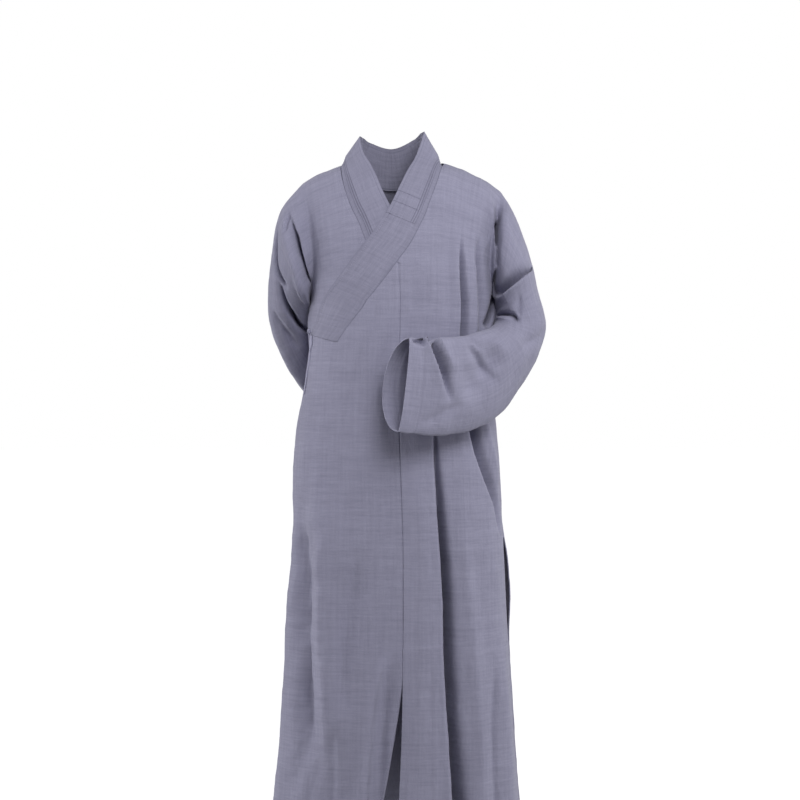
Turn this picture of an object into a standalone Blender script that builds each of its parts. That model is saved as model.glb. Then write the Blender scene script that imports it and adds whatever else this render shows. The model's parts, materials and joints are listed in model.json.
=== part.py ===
"""Buddhist monk robe: a long cross-collar gown, hollow, as it hangs on a standing figure.

Metres, +Z up. +X is the wearer's left and -Y the front. The origin is where the shoulders
hold the robe, in the middle, at the base of the neck.

Places on the body of the robe are given by two measures. `around` counts quarters of the way
round: 0 is the centre front, 1 the wearer's left side, 2 the centre back and -1 the right side.
`down` is 0 on the shoulder line, 1 at the underarm and 2 at the hem.
"""

import math
from collections import namedtuple

import bpy
import numpy as np

# Cloth
CLOTH = 0.002
BAND_CLOTH = 0.0025
GUARD_CLOTH = 0.001
SEAM_GAP = 0.0003
COLLAR_SEAM_GAP = 0.0004
ARMHOLE_GAP = 0.0012
SLEEVE_CUT_GAP = 0.0006
LAYER_GAP = 0.0002
LINEN = (0.262, 0.262, 0.345)

# Heights of the body
UNDERARM = -0.29
HEM = -1.37
SIDE_SLIT_TOP = -0.775
FRONT_SLIT_TOP = -0.985

# The shoulders
SHOULDER_HALF = 0.215
SHOULDER_DEPTH = 0.008
SQUARENESS = 2.5
TYPICAL_HALF_WIDTH = 0.20
TYPICAL_DEPTH = 0.14
# Length of a quarter of the section, over the sum of its half width and depth
QUARTER_TO_AXES = 0.83

# How far the outer front lies off the body's form, how far the under front sinks behind it, and
# how far the collar's face stands off the cloth that it is sewn to
OVERLAP_LIFT = 0.0065
UNDER_SINK = 0.007
BAND_RISE = 0.0005

# The outer front's lift grows over this many quarters from the left side, and this far down
LIFT_SPAN = 0.6
LIFT_DOWN = 0.45
# The under front sinks below this line, which follows the collar's outer edge: a point of it as
# x and height, how steep it is, and over how much height the sink grows
COVER_POINT = (-0.009, -0.103)
COVER_SLOPE = 1.353
COVER_REACH = 0.05
# and only this many quarters away from the right side seam
COVER_SIDE = 0.25

# The back's edge stands out beside the side slit, and bends to it over this many quarters
SLIT_FLARE = 0.011
SLIT_FLARE_REACH = 0.12
SLIT_FLARE_ABOVE = 0.05
SLIT_FADE = 0.12
# How far the front's edge draws back from the side slit, in quarters
SIDE_SLIT_OPENING = 0.012
# How far the overlap's edge draws back from the front slit at the hem, in quarters
FRONT_SLIT_OPENING = 0.105

Section = namedtuple("Section", "height centre half_width front back")
BODY_SECTIONS = (
    Section(-0.29, 0.012, 0.181, 0.132, 0.118),
    Section(-0.37, 0.009, 0.183, 0.136, 0.122),
    Section(-0.46, 0.006, 0.193, 0.139, 0.128),
    Section(-0.60, 0.005, 0.208, 0.143, 0.136),
    Section(-0.78, 0.008, 0.214, 0.148, 0.148),
    Section(-0.95, 0.007, 0.223, 0.154, 0.160),
    Section(-1.15, 0.007, 0.235, 0.162, 0.174),
    Section(-1.37, 0.004, 0.255, 0.172, 0.190),
)

# The shoulder line, as height against distance from the middle
SHOULDER_LINE = (
    (0.00, 0.000),
    (0.06, 0.001),
    (0.10, -0.001),
    (0.15, -0.019),
    (0.19, -0.038),
    (0.215, -0.056),
    (0.26, -0.100),
)

# Armholes, as how far round the front or back they lie at each measure down
ARMHOLE = ((0.0, 0.80), (0.35, 0.80), (0.60, 0.81), (0.80, 0.85), (0.93, 0.92), (1.0, 1.0))

# Folds of the body. Each runs from (around, height) to (around, height); a negative depth is
# a trough. Width and depth are metres at the middle of the fold, and fades are shares of it.
Fold = namedtuple("Fold", "name top top_height low low_height width depth fade_top fade_low")
BODY_FOLDS = (
    Fold("chest, left, deep", 0.50, -0.12, 0.52, -0.47, 0.011, -0.014, 0.35, 0.25),
    Fold("chest, left, soft", 0.70, -0.20, 0.70, -0.46, 0.012, -0.009, 0.30, 0.30),
    Fold("chest, left, ridge", 0.60, -0.16, 0.61, -0.45, 0.014, 0.006, 0.30, 0.30),
    Fold("underarm, left, drape", 0.99, -0.16, 1.00, -0.45, 0.032, 0.008, 0.35, 0.40),
    Fold("underarm, left, behind", 1.12, -0.30, 1.12, -0.46, 0.024, 0.013, 0.30, 0.60),
    Fold("underarm, right, drape", -1.00, -0.16, -1.00, -0.45, 0.032, 0.002, 0.35, 0.40),
    Fold("armhole, left, ridge", 0.76, -0.07, 0.90, -0.38, 0.016, 0.007, 0.25, 0.35),
    Fold("skirt, left, deep", 0.31, -0.47, 0.36, -1.40, 0.016, -0.016, 0.20, 0.02),
    Fold("skirt, left, ridge", 0.24, -0.60, 0.24, -1.40, 0.020, 0.008, 0.30, 0.02),
    Fold("hip, left, diagonal", 0.56, -0.46, 0.78, -0.78, 0.017, -0.014, 0.25, 0.40),
    Fold("skirt, left, edge ridge", 0.60, -0.95, 0.56, -1.40, 0.030, 0.010, 0.40, 0.02),
    Fold("skirt, right, side trough", -0.68, -0.58, -0.55, -1.40, 0.028, -0.014, 0.30, 0.10),
    Fold("skirt, right, side ridge", -0.84, -0.70, -0.78, -1.40, 0.030, 0.008, 0.30, 0.02),
    Fold("skirt, right, broad", -0.16, -0.62, -0.20, -1.15, 0.030, -0.007, 0.40, 0.40),
    Fold("skirt, right, mid ridge", -0.36, -0.55, -0.38, -1.40, 0.050, 0.008, 0.40, 0.02),
    Fold("slit flap ridge", -0.06, -0.96, -0.15, -1.40, 0.014, 0.007, 0.15, 0.02),
    Fold("back, left of middle", 1.72, -0.40, 1.66, -1.40, 0.030, -0.014, 0.40, 0.02),
    Fold("back, right of middle", 2.28, -0.46, 2.36, -1.40, 0.028, -0.015, 0.40, 0.02),
    Fold("back, middle ridge", 2.00, -0.52, 2.02, -1.40, 0.045, 0.010, 0.40, 0.02),
    Fold("back, left flank", 1.38, -0.30, 1.30, -1.40, 0.030, -0.012, 0.30, 0.02),
    Fold("back, right flank", 2.64, -0.36, 2.70, -1.40, 0.030, -0.012, 0.30, 0.02),
    Fold("back, left shoulder", 1.55, -0.10, 1.44, -0.34, 0.020, -0.008, 0.40, 0.40),
    Fold("back, right shoulder", 2.45, -0.10, 2.56, -0.34, 0.020, -0.009, 0.40, 0.40),
)

# Stations of the collar band, from its outer end at the right side, round the neck, to its
# under end. seam is the edge sewn to the body (behind the shoulder line where behind is set)
# and edge the one at the neck, each as x and height. Where depth is None the whole band lies
# on the chest; elsewhere it stands round the neck, and depth is the place of its edge in y.
Station = namedtuple("Station", "name seam behind edge depth")
COLLAR_STATIONS = (
    Station("outer end", (-0.114, -0.374), False, (-0.166, -0.357), None),
    Station("outer end fold", (-0.094, -0.345), False, (-0.155, -0.325), None),
    Station("side", (-0.077, -0.322), False, (-0.145, -0.293), None),
    Station("side chest", (-0.061, -0.301), False, (-0.128, -0.266), None),
    Station("right chest", (-0.030, -0.259), False, (-0.097, -0.223), None),
    Station("centre seam", (0.003, -0.215), False, (-0.065, -0.180), None),
    Station("crossing", (0.034, -0.171), False, (-0.035, -0.140), None),
    Station("guard low end", (0.048, -0.143), False, (-0.018, -0.114), None),
    Station("guard middle end", (0.060, -0.118), False, (-0.005, -0.090), None),
    Station("guard top end", (0.067, -0.098), False, (0.005, -0.070), None),
    Station("left collar bone", (0.085, -0.048), False, (0.023, -0.027), -0.056),
    Station("left neck front", (0.095, -0.014), False, (0.0425, 0.0115), -0.034),
    Station("left neck", (0.099, -0.0035), False, (0.056, 0.061), 0.002),
    Station("left nape", (0.076, -0.018), True, (0.042, 0.055), 0.040),
    Station("nape", (-0.004, -0.047), True, (-0.007, 0.036), 0.058),
    Station("right nape", (-0.087, -0.020), True, (-0.056, 0.048), 0.040),
    Station("right neck", (-0.112, -0.0075), False, (-0.071, 0.051), 0.002),
    Station("right neck front", (-0.112, -0.022), False, (-0.064, 0.016), -0.032),
    Station("right collar bone", (-0.106, -0.052), False, (-0.049, -0.012), -0.055),
    Station("right guard", (-0.092, -0.095), False, (-0.030, -0.058), None),
    Station("under crossing", (-0.075, -0.131), False, (-0.009, -0.103), None),
    Station("guard under end", (-0.058, -0.175), False, (0.011, -0.146), None),
    Station("under chest", (-0.041, -0.214), False, (0.033, -0.189), None),
    Station("under end", (-0.019, -0.258), False, (0.055, -0.235), None),
)
COLLAR_ACROSS = (0.0, 0.14, 0.205, 0.27, 0.51, 0.76, 1.0)
COLLAR_STEP = 0.024
# The stations of the outer half of the band are those before this one
OUTER_STATIONS = 12
# and over this length before it the band comes down from the outer front's lift
OUTER_FADE = 0.05
# The guard's layers, from the lowest: its end on the left, and the line across where it starts
Guard = namedtuple("Guard", "name left_end first_line")
GUARDS = (
    Guard("guard_low", "guard low end", 1),
    Guard("guard_middle", "guard middle end", 2),
    Guard("guard_top", "guard top end", 3),
)
GUARD_UNDER_END = "guard under end"

# The free edge of the overlap, and the lower line of the front panels at the right side
FREE_EDGE = ((-0.30, -0.79), (-0.357, -0.81), (-0.42, -0.80), (-0.50, -0.83), (-0.58, -0.97),
             (-0.80, -1.05), (HEM, -1.06))
# The centre front seam and, below the slit's top, the edge of the left front
CENTRE_SEAM = ((-0.20, -0.014), (-0.56, 0.012), (-0.98, 0.026), (HEM, 0.000))
# The hidden free edge of the under front
UNDER_EDGE = ((-0.10, -0.05), (-0.258, -0.09), (-0.60, -0.13), (-0.95, -0.24), (HEM, -0.27))

# Sections of the sleeves. outer runs down the outside of the arm to the bottom of the cuff,
# inner from the underarm through the crook to the top of the cuff. facing is the plan angle of
# the side that faces the front, and hang how much narrower the bottom is than the top.
Ring = namedtuple("Ring", "outer inner facing front back hang")
LEFT_RINGS = (
    Ring((0.238, 0.006, -0.093), (0.2035, -0.003, -0.300), 2, 0.082, 0.085, 0.0),
    Ring((0.272, 0.005, -0.180), (0.206, -0.016, -0.311), 8, 0.080, 0.078, 0.0),
    Ring((0.292, 0.000, -0.272), (0.207, -0.036, -0.321), 12, 0.075, 0.070, 0.0),
    Ring((0.304, -0.012, -0.340), (0.206, -0.058, -0.330), 20, 0.064, 0.050, 0.0),
    Ring((0.283, -0.037, -0.405), (0.202, -0.087, -0.338), 30, 0.054, 0.037, 0.1),
    Ring((0.249, -0.075, -0.466), (0.191, -0.117, -0.346), 36, 0.045, 0.031, 0.2),
    Ring((0.198, -0.124, -0.528), (0.169, -0.143, -0.354), 40, 0.038, 0.026, 0.3),
    Ring((0.149, -0.160, -0.551), (0.145, -0.166, -0.361), 41, 0.033, 0.027, 0.3),
    Ring((0.100, -0.192, -0.560), (0.110, -0.192, -0.367), 41, 0.026, 0.036, 0.2),
    Ring((0.052, -0.221, -0.559), (0.067, -0.217, -0.371), 41, 0.016, 0.050, 0.1),
    Ring((0.0055, -0.245, -0.553), (0.027, -0.238, -0.369), 41, 0.008, 0.062, 0.0),
)
RIGHT_RINGS = (
    Ring((-0.239, 0.008, -0.103), (-0.1745, 0.004, -0.298), 0, 0.080, 0.085, 0.0),
    Ring((-0.256, 0.012, -0.185), (-0.1750, 0.018, -0.306), 0, 0.073, 0.080, 0.0),
    Ring((-0.265, 0.022, -0.262), (-0.1745, 0.040, -0.314), 5, 0.064, 0.073, 0.0),
    Ring((-0.263, 0.040, -0.327), (-0.174, 0.064, -0.322), 12, 0.055, 0.064, 0.0),
    Ring((-0.243, 0.066, -0.389), (-0.170, 0.089, -0.330), 20, 0.045, 0.055, 0.1),
    Ring((-0.213, 0.098, -0.446), (-0.160, 0.113, -0.339), 27, 0.037, 0.046, 0.2),
    Ring((-0.172, 0.131, -0.498), (-0.142, 0.136, -0.348), 31, 0.030, 0.040, 0.3),
    Ring((-0.126, 0.158, -0.530), (-0.112, 0.157, -0.356), 28, 0.027, 0.038, 0.3),
    Ring((-0.070, 0.178, -0.545), (-0.063, 0.175, -0.362), 20, 0.026, 0.038, 0.2),
    Ring((-0.012, 0.192, -0.552), (-0.006, 0.189, -0.366), 12, 0.030, 0.036, 0.1),
)

# Folds of the sleeves, from (turn, along) to (turn, along). turn goes from the outer line (0)
# over the front (0.25) to the inner line (0.5) and the back (0.75); along from armhole to cuff.
SleeveFold = namedtuple("SleeveFold", "name turn along turn_end along_end width depth")
SLEEVE_GIRTH = 0.50
SLEEVE_LENGTH = 0.55
SLEEVE_FOLD_FADE = 0.3
LEFT_SLEEVE_FOLDS = (
    SleeveFold("elbow fold shadow", 0.04, 0.36, 0.40, 0.30, 0.012, -0.012),
    SleeveFold("elbow fold lip", 0.02, 0.42, 0.40, 0.36, 0.012, 0.009),
    SleeveFold("crook", 0.46, 0.46, 0.22, 0.50, 0.012, -0.012),
    SleeveFold("forearm, upper", 0.44, 0.62, 0.24, 0.52, 0.012, -0.007),
    SleeveFold("cuff gather", 0.47, 0.90, 0.22, 0.74, 0.013, -0.020),
    SleeveFold("shoulder to elbow", 0.14, 0.10, 0.18, 0.30, 0.020, -0.006),
    SleeveFold("back of elbow", 0.96, 0.42, 0.70, 0.42, 0.016, -0.009),
    SleeveFold("back of upper arm", 0.80, 0.16, 0.92, 0.34, 0.020, -0.008),
)
RIGHT_SLEEVE_FOLDS = (
    SleeveFold("shoulder", 0.16, 0.10, 0.24, 0.24, 0.012, -0.008),
    SleeveFold("armhole front", 0.28, 0.09, 0.40, 0.26, 0.013, -0.008),
    SleeveFold("long curve", 0.06, 0.24, 0.20, 0.42, 0.014, -0.010),
    SleeveFold("elbow trough", 0.10, 0.40, 0.44, 0.50, 0.016, -0.016),
    SleeveFold("under the elbow", 0.04, 0.50, 0.36, 0.60, 0.016, -0.008),
    SleeveFold("back of elbow", 0.94, 0.44, 0.70, 0.50, 0.018, -0.010),
    SleeveFold("forearm, behind", 0.66, 0.70, 0.88, 0.90, 0.018, -0.008),
)
FIRST_RING_GAP = 0.05
SLEEVE_COLUMNS = 26
SLEEVE_ROWS = 21
# The row of the sleeve's points where its upper and lower lengths are pieced
SLEEVE_CUT_ROW = 8

# Points across the panels
FRONT_COLUMNS = 25
UNDER_COLUMNS = 13
OVERLAP_END_COLUMNS = 5
BACK_SHOULDER_COLUMNS = 9
BAND_END_GAP = 0.0006
# Share of the overlap's length over which its columns spread from its top edge to full width
OVERLAP_SPREAD = 0.15

# Rows of the body's panels, from just below the shoulder seam, through the underarm, to the hem
SHOULDER_SEAM = 0.0012
BODY_ROWS = np.concatenate(
    ([SHOULDER_SEAM], np.linspace(0.0, 1.0, 9)[1:] ** 1.5, np.linspace(1.0, 2.0, 13)[1:])
)

# The side tie hangs on the overlap beside its free edge, from a knot at the collar's corner.
# Insets are how far from the edge each lies, in quarters.
TIE_INSET = 0.035
TIE_LIFT = 0.0007
KNOT_HEIGHT = -0.352
KNOT_INSET = 0.01
KNOT_HALF_SIZE = (0.0045, 0.0035, 0.0065)
KNOT_LIFT = 0.0049
LEAF_HEIGHTS = (-0.3605, -0.392)
LEAF_HALF_WIDTH = 0.0052
LEAF_ROWS = 8
STRAND_HEIGHTS = (-0.3925, -0.480)
STRAND_HALF_WIDTH = 0.0016
STRAND_ROWS = 7
STRAND_CLOTH = 0.0015


def ease(share):
    """0 below 0, 1 above 1, and a smooth step between."""
    share = np.clip(share, 0.0, 1.0)
    return share * share * (3.0 - 2.0 * share)


def curve(at, knots, values):
    """A smooth curve through values (one or more to a knot), held level past both ends."""
    at, knots, values = (np.asarray(v, float) for v in (at, knots, values))
    order = np.argsort(knots)
    knots, values = knots[order], values[order]
    many = values.ndim > 1
    step = np.diff(knots)
    widths = step[:, None] if many else step
    rise = np.diff(values, axis=0) / widths
    slope = np.empty_like(values)
    slope[1:-1] = (rise[:-1] * widths[1:] + rise[1:] * widths[:-1]) / (widths[1:] + widths[:-1])
    slope[0], slope[-1] = rise[0], rise[-1]
    index = np.clip(np.searchsorted(knots, at) - 1, 0, len(step) - 1)
    t = np.clip((at - knots[index]) / step[index], 0.0, 1.0)
    span = step[index]
    if many:
        t, span = t[..., None], span[..., None]
    return (
        (1 + 2 * t) * (1 - t) ** 2 * values[index]
        + t * (1 - t) ** 2 * span * slope[index]
        + t * t * (3 - 2 * t) * values[index + 1]
        + t * t * (t - 1) * span * slope[index + 1]
    )


def quarter_outline():
    """A quarter of the level section: its side and depth shares, against shares of its length."""
    angle = np.linspace(0.0, math.pi / 2, 600)
    side = np.sin(angle) ** (2 / SQUARENESS)
    depth = np.cos(angle) ** (2 / SQUARENESS)
    steps = np.hypot(np.diff(side) * TYPICAL_HALF_WIDTH, np.diff(depth) * TYPICAL_DEPTH)
    length = np.concatenate(([0.0], np.cumsum(steps)))
    return length / length[-1], side, depth


LENGTH_SHARE, SIDE_SHARE, DEPTH_SHARE = quarter_outline()
SECTION_HEIGHTS = [section.height for section in BODY_SECTIONS]


def section_sizes(height):
    """centre, half width, front depth and back depth of the body at a height."""
    height = np.minimum(height, UNDERARM)
    sizes = curve(height, SECTION_HEIGHTS, [section[1:] for section in BODY_SECTIONS])
    return np.moveaxis(sizes, -1, 0)


def shoulder_height(x):
    return curve(np.abs(x), *zip(*SHOULDER_LINE))


def over_the_shoulder(around, down):
    """The same place with down not below 0: a negative one lies behind the shoulder line."""
    around, down = np.broadcast_arrays(np.asarray(around, float), np.asarray(down, float))
    return np.where(down < 0, 2.0 - around, around), np.abs(down)


def body(around, down):
    """The bare form of the robe's body, a point for each pair of measures."""
    around, down = over_the_shoulder(around, down)
    turn = (around + 2.0) % 4.0 - 2.0
    is_front = np.abs(turn) <= 1.0
    quarter = np.where(is_front, np.abs(turn), 2.0 - np.abs(turn))
    side = np.sign(turn) * np.interp(quarter, LENGTH_SHARE, SIDE_SHARE)
    depth_share = np.interp(quarter, LENGTH_SHARE, DEPTH_SHARE)
    tilt = np.clip(down, 0.0, 1.0) * math.pi / 2
    low = UNDERARM + np.maximum(down - 1.0, 0.0) * (HEM - UNDERARM)
    centre, half_width, front, back = section_sizes(low)
    half_width = half_width + (SHOULDER_HALF - half_width) * np.cos(tilt) ** 2
    ridge = shoulder_height(centre + SHOULDER_HALF * side)
    x = centre + half_width * side
    y = SHOULDER_DEPTH * np.cos(tilt)
    y = y + depth_share * np.where(is_front, -front, back) * np.sin(tilt)
    z = low + (ridge - UNDERARM) * np.cos(tilt)
    return np.stack((x, y, z), axis=-1)


def outward(form, across, along, step=0.004):
    """The direction off a form that maps (across, along) to points, from its slopes."""
    sideways = form(across + step, along) - form(across - step, along)
    lengthways = form(across, along + step) - form(across, along - step)
    normal = np.cross(lengthways, sideways)
    return normal / np.linalg.norm(normal, axis=-1, keepdims=True)


def quarter_length(height):
    """Roughly how long a quarter of the way round is, so that a fold has its real width."""
    _, half_width, front, _ = section_sizes(height)
    return QUARTER_TO_AXES * (half_width + front)


def fold_height(around, height):
    """How far the folds push the body out (or, negative, in) at a place."""
    turn = np.asarray(around, float)
    total = np.zeros(np.broadcast(turn, height).shape)
    for fold in BODY_FOLDS:
        share = (height - fold.top_height) / (fold.low_height - fold.top_height)
        line = fold.top + (fold.low - fold.top) * share
        away = (turn - line + 2.0) % 4.0 - 2.0
        across = away * quarter_length(height) / fold.width
        fade = ease(share / fold.fade_top) * ease((1.0 - share) / fold.fade_low)
        total = total + fold.depth * np.exp(-across * across) * fade
    return total


def on_body(around, down, lift):
    """The worn cloth: the bare form with its folds, lifted by a layer's height."""
    points = body(around, down)
    rise = fold_height(over_the_shoulder(around, down)[0], points[..., 2]) + lift
    return points + outward(body, around, down, 0.01) * rise[..., None]


def place(x, height):
    """around and down of the place on the front that has this x and height."""
    low = min(height, UNDERARM)
    centre, low_half, _, _ = (float(size) for size in section_sizes(np.array(low)))
    lean, half_width, side = 0.0, low_half, 0.0
    for _ in range(30):
        side = max(-1.0, min(1.0, (x - centre) / half_width))
        if height > UNDERARM:
            ridge = float(shoulder_height(centre + SHOULDER_HALF * side))
            lean = min(1.0, (height - UNDERARM) / (ridge - UNDERARM))
        half_width = low_half + (SHOULDER_HALF - low_half) * lean * lean
    around = math.copysign(float(np.interp(abs(side), SIDE_SHARE, LENGTH_SHARE)), side)
    if height > UNDERARM:
        return around, math.acos(lean) / (math.pi / 2)
    return around, down_of(height)


def down_of(height):
    """down of a height below the underarm."""
    return 1.0 + (height - UNDERARM) / (HEM - UNDERARM)


def heights_of(down):
    """The heights of places below the underarm; above it, the underarm's."""
    return UNDERARM + np.maximum(down - 1.0, 0.0) * (HEM - UNDERARM)


def outer_lift(around, down):
    """How far the outer front lies off the bare form: nothing at the shoulder and left side."""
    over_left = ease((1.0 - np.asarray(around)) / LIFT_SPAN)
    return OVERLAP_LIFT * over_left * ease(np.asarray(down) / LIFT_DOWN)


def under_sink(around, down):
    """How far the under front sinks behind the outer one, below the collar's outer edge."""
    bare = body(around, down)
    line = COVER_POINT[1] + (bare[..., 0] - COVER_POINT[0]) * COVER_SLOPE
    covered = ease((line - bare[..., 2]) / COVER_REACH)
    free_of_side = ease((np.asarray(around) + 1.0) / COVER_SIDE)
    return UNDER_SINK * covered * free_of_side


def slit_flare(around, height):
    """How far the back's edge stands out beside the slit of the left side."""
    near_edge = 1.0 - np.abs(around - 1.0) / SLIT_FLARE_REACH
    below_top = (SIDE_SLIT_TOP + SLIT_FLARE_ABOVE - height) / SLIT_FADE
    return SLIT_FLARE * ease(near_edge) * ease(below_top)


def outer_front(around, down):
    return on_body(around, down, outer_lift(around, down))


def under_front(around, down):
    return on_body(around, down, -under_sink(around, down))


def back_form(around, down):
    return on_body(around, down, slit_flare(np.asarray(around), heights_of(down)))


def make_material(name, colour):
    material = bpy.data.materials.new(name)
    material.use_nodes = True
    shader = material.node_tree.nodes["Principled BSDF"]
    shader.inputs["Base Color"].default_value = (*colour, 1.0)
    shader.inputs["Roughness"].default_value = 0.9
    shader.inputs["Metallic"].default_value = 0.0
    return material


def cloth(name, face, inside, tube=False, shade=1.0):
    """One piece of cloth: grids of the same points on its face and its inside, closed by a rim."""
    rows, columns = face.shape[:2]
    count = rows * columns
    faces = []

    def corner(row, column, layer):
        return layer * count + row * columns + column % columns

    for row in range(rows - 1):
        for column in range(columns if tube else columns - 1):
            quad = [(row, column), (row + 1, column), (row + 1, column + 1), (row, column + 1)]
            back_of_quad = [quad[0], quad[3], quad[2], quad[1]]
            faces.append([corner(*spot, 0) for spot in quad])
            faces.append([corner(*spot, 1) for spot in back_of_quad])
    rim = [((0, c + 1), (0, c)) for c in range(columns if tube else columns - 1)]
    rim += [((rows - 1, c), (rows - 1, c + 1)) for c in range(columns if tube else columns - 1)]
    if not tube:
        rim += [((r, 0), (r + 1, 0)) for r in range(rows - 1)]
        rim += [((r + 1, columns - 1), (r, columns - 1)) for r in range(rows - 1)]
    for start, end in rim:
        faces.append([corner(*start, 0), corner(*start, 1), corner(*end, 1), corner(*end, 0)])
    points = np.concatenate((face.reshape(-1, 3), inside.reshape(-1, 3)))
    mesh = bpy.data.meshes.new(name)
    mesh.from_pydata([tuple(point) for point in points], [], faces)
    mesh.shade_smooth()
    piece = bpy.data.objects.new(name, mesh)
    bpy.context.scene.collection.objects.link(piece)
    piece.data.materials.append(make_material(name, [part * shade for part in LINEN]))
    return piece


def cloth_in_two(name, face, inside, cut, gap=SEAM_GAP, tube=False, shade=1.0):
    """A piece in an upper and a lower length that meet at a row, a seam's gap apart."""
    apart = np.cross(np.gradient(face[cut], axis=0), face[cut] - inside[cut])
    step = apart / np.linalg.norm(apart, axis=-1, keepdims=True) * gap / 2
    upper = [layer[:cut + 1].copy() for layer in (face, inside)]
    lower = [layer[cut:].copy() for layer in (face, inside)]
    for upper_layer, lower_layer in zip(upper, lower):
        upper_layer[-1] -= step
        lower_layer[0] += step
    cloth(name + "_upper", *upper, tube=tube, shade=shade)
    cloth(name + "_lower", *lower, tube=tube, shade=shade)


def panel_layers(form, around, down):
    """The face of a panel of the body, and the same moved inward by the cloth."""
    around, down = np.broadcast_arrays(around, down)
    face = form(around, down)
    return face, face - outward(form, around, down) * CLOTH


def underarm_row(down):
    return int(np.argmin(np.abs(down - 1.0)))


def armhole_line(down):
    """How far round from the centre front or back the armhole is, at each measure down."""
    return curve(down, *zip(*ARMHOLE))


def seam_allowance(height):
    """Half the gap between two pieces at a seam, in quarters."""
    return 0.5 * SEAM_GAP / quarter_length(height)


def station_number(name):
    return [station.name for station in COLLAR_STATIONS].index(name)


def collar_stops():
    """How far along the band each row of its points is, with a row at each end of the guards."""
    knots = collar_curves()[0]
    marks = [0.0]
    for name in ("centre seam", *(guard.left_end for guard in GUARDS), "left neck", "right neck",
                 GUARD_UNDER_END, "under end"):
        marks.append(knots[station_number(name)])
    stops = [0.0]
    for start, end in zip(marks, marks[1:]):
        count = max(1, round((end - start) / COLLAR_STEP))
        stops.extend(np.linspace(start, end, count + 1)[1:])
    return np.array(stops)


def seam_of_collar(first, last):
    """The collar's seam between two stations, as around and down of each point of the band."""
    knots, seam_places = collar_curves()[:2]
    stops = collar_stops()
    start, end = knots[station_number(first)], knots[station_number(last)]
    chosen = stops[(stops > start - 1e-6) & (stops < end + 1e-6)]
    return curve(chosen, knots, seam_places).T


def centre_seam(height):
    return curve(height, *zip(*CENTRE_SEAM))


def slit_edge(height):
    """The overlap's edge along the centre seam and, below it, the front slit, which opens."""
    open_share = np.clip((height - FRONT_SLIT_TOP) / (HEM - FRONT_SLIT_TOP), 0.0, 1.0)
    return centre_seam(height) - FRONT_SLIT_OPENING * open_share


def with_middles(around, down):
    """A line of places with one more between each two, on the straight line in space."""
    points = body(around, down)
    middles = [place(x, height) for x, _, height in (points[1:] + points[:-1]) / 2]
    line = np.empty((2 * len(around) - 1, 2))
    line[::2] = np.stack((around, down), axis=-1)
    line[1::2] = middles
    return line.T


def panel_rows(seam_down):
    """Rows of a front panel: those of the collar's seam beside it, and the regular ones below."""
    beside = np.sort(seam_down[seam_down > 2 * SHOULDER_SEAM])
    below = BODY_ROWS[BODY_ROWS > beside[-1] + 0.02]
    return np.concatenate(([SHOULDER_SEAM], beside, below))


def front_panel_edges(seam_around, seam_down, low_edge):
    """Rows of a front panel, with its edge at the collar and below and its edge at the side."""
    down = panel_rows(seam_down)
    order = np.argsort(seam_down)
    beside = np.interp(down, seam_down[order], seam_around[order])
    inner = np.where(down <= seam_down.max(), beside, low_edge(heights_of(down)))
    outer = np.where(down < 1.0, armhole_line(down), 1.0)
    return down, inner, outer


def make_front_left():
    seam_around, seam_down = seam_of_collar("centre seam", "left neck")
    down, inner, outer = front_panel_edges(seam_around, seam_down, centre_seam)
    height = heights_of(down)
    allowance = seam_allowance(height)
    below_collar = down > seam_down.max()
    inner = inner + np.where(below_collar, allowance, 0.0)
    outer = outer - allowance - SIDE_SLIT_OPENING * ease((SIDE_SLIT_TOP - height) / SLIT_FADE)
    columns = np.linspace(0.0, 1.0, FRONT_COLUMNS)
    around = inner[:, None] + (outer - inner)[:, None] * columns
    layers = panel_layers(outer_front, around, down[:, None])
    cloth_in_two("front_left", *layers, underarm_row(down), shade=1.0)


def make_front_overlap():
    seam_around, seam_down = seam_of_collar("outer end", "centre seam")
    corner_around, corner_down = place(*COLLAR_STATIONS[0].edge)
    seam_around, seam_down = with_middles(seam_around, seam_down)
    end_steps = np.linspace(0.0, 1.0, OVERLAP_END_COLUMNS)[:-1]
    around_top = np.concatenate((
        corner_around + (seam_around[0] - corner_around) * end_steps,
        seam_around,
    ))
    down_top = np.concatenate((
        corner_down + (seam_down[0] - corner_down) * end_steps + BAND_END_GAP,
        seam_down,
    ))
    down_top[len(end_steps)] += BAND_END_GAP
    rows = np.concatenate((down_top[-1:], BODY_ROWS[BODY_ROWS > down_top[-1] + 0.02]))
    steps = ((rows - rows[0]) / (rows[-1] - rows[0]))[:, None]
    down = down_top + (2.0 - down_top) * steps
    height = heights_of(down)
    left = curve(height, *zip(*FREE_EDGE))
    right = slit_edge(height) - seam_allowance(height)
    share = (around_top - left[0]) / (right[0] - left[0])
    share = (share - share[0]) / (share[-1] - share[0])
    blend = ease(steps / OVERLAP_SPREAD)
    around = around_top * (1.0 - blend) + (left + (right - left) * share) * blend
    cloth("front_overlap", *panel_layers(outer_front, around, down), shade=0.97)


def make_front_under():
    seam_around, seam_down = seam_of_collar("right neck", "under end")

    def hidden_edge(height):
        return -curve(height, *zip(*UNDER_EDGE))

    down, inner, outer = front_panel_edges(-seam_around, seam_down, hidden_edge)
    outer = outer - seam_allowance(heights_of(down))
    columns = np.linspace(1.0, 0.0, UNDER_COLUMNS)
    around = -(inner[:, None] + (outer - inner)[:, None] * columns)
    layers = panel_layers(under_front, around, down[:, None])
    cloth_in_two("front_under", *layers, underarm_row(down), shade=0.94)


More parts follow.
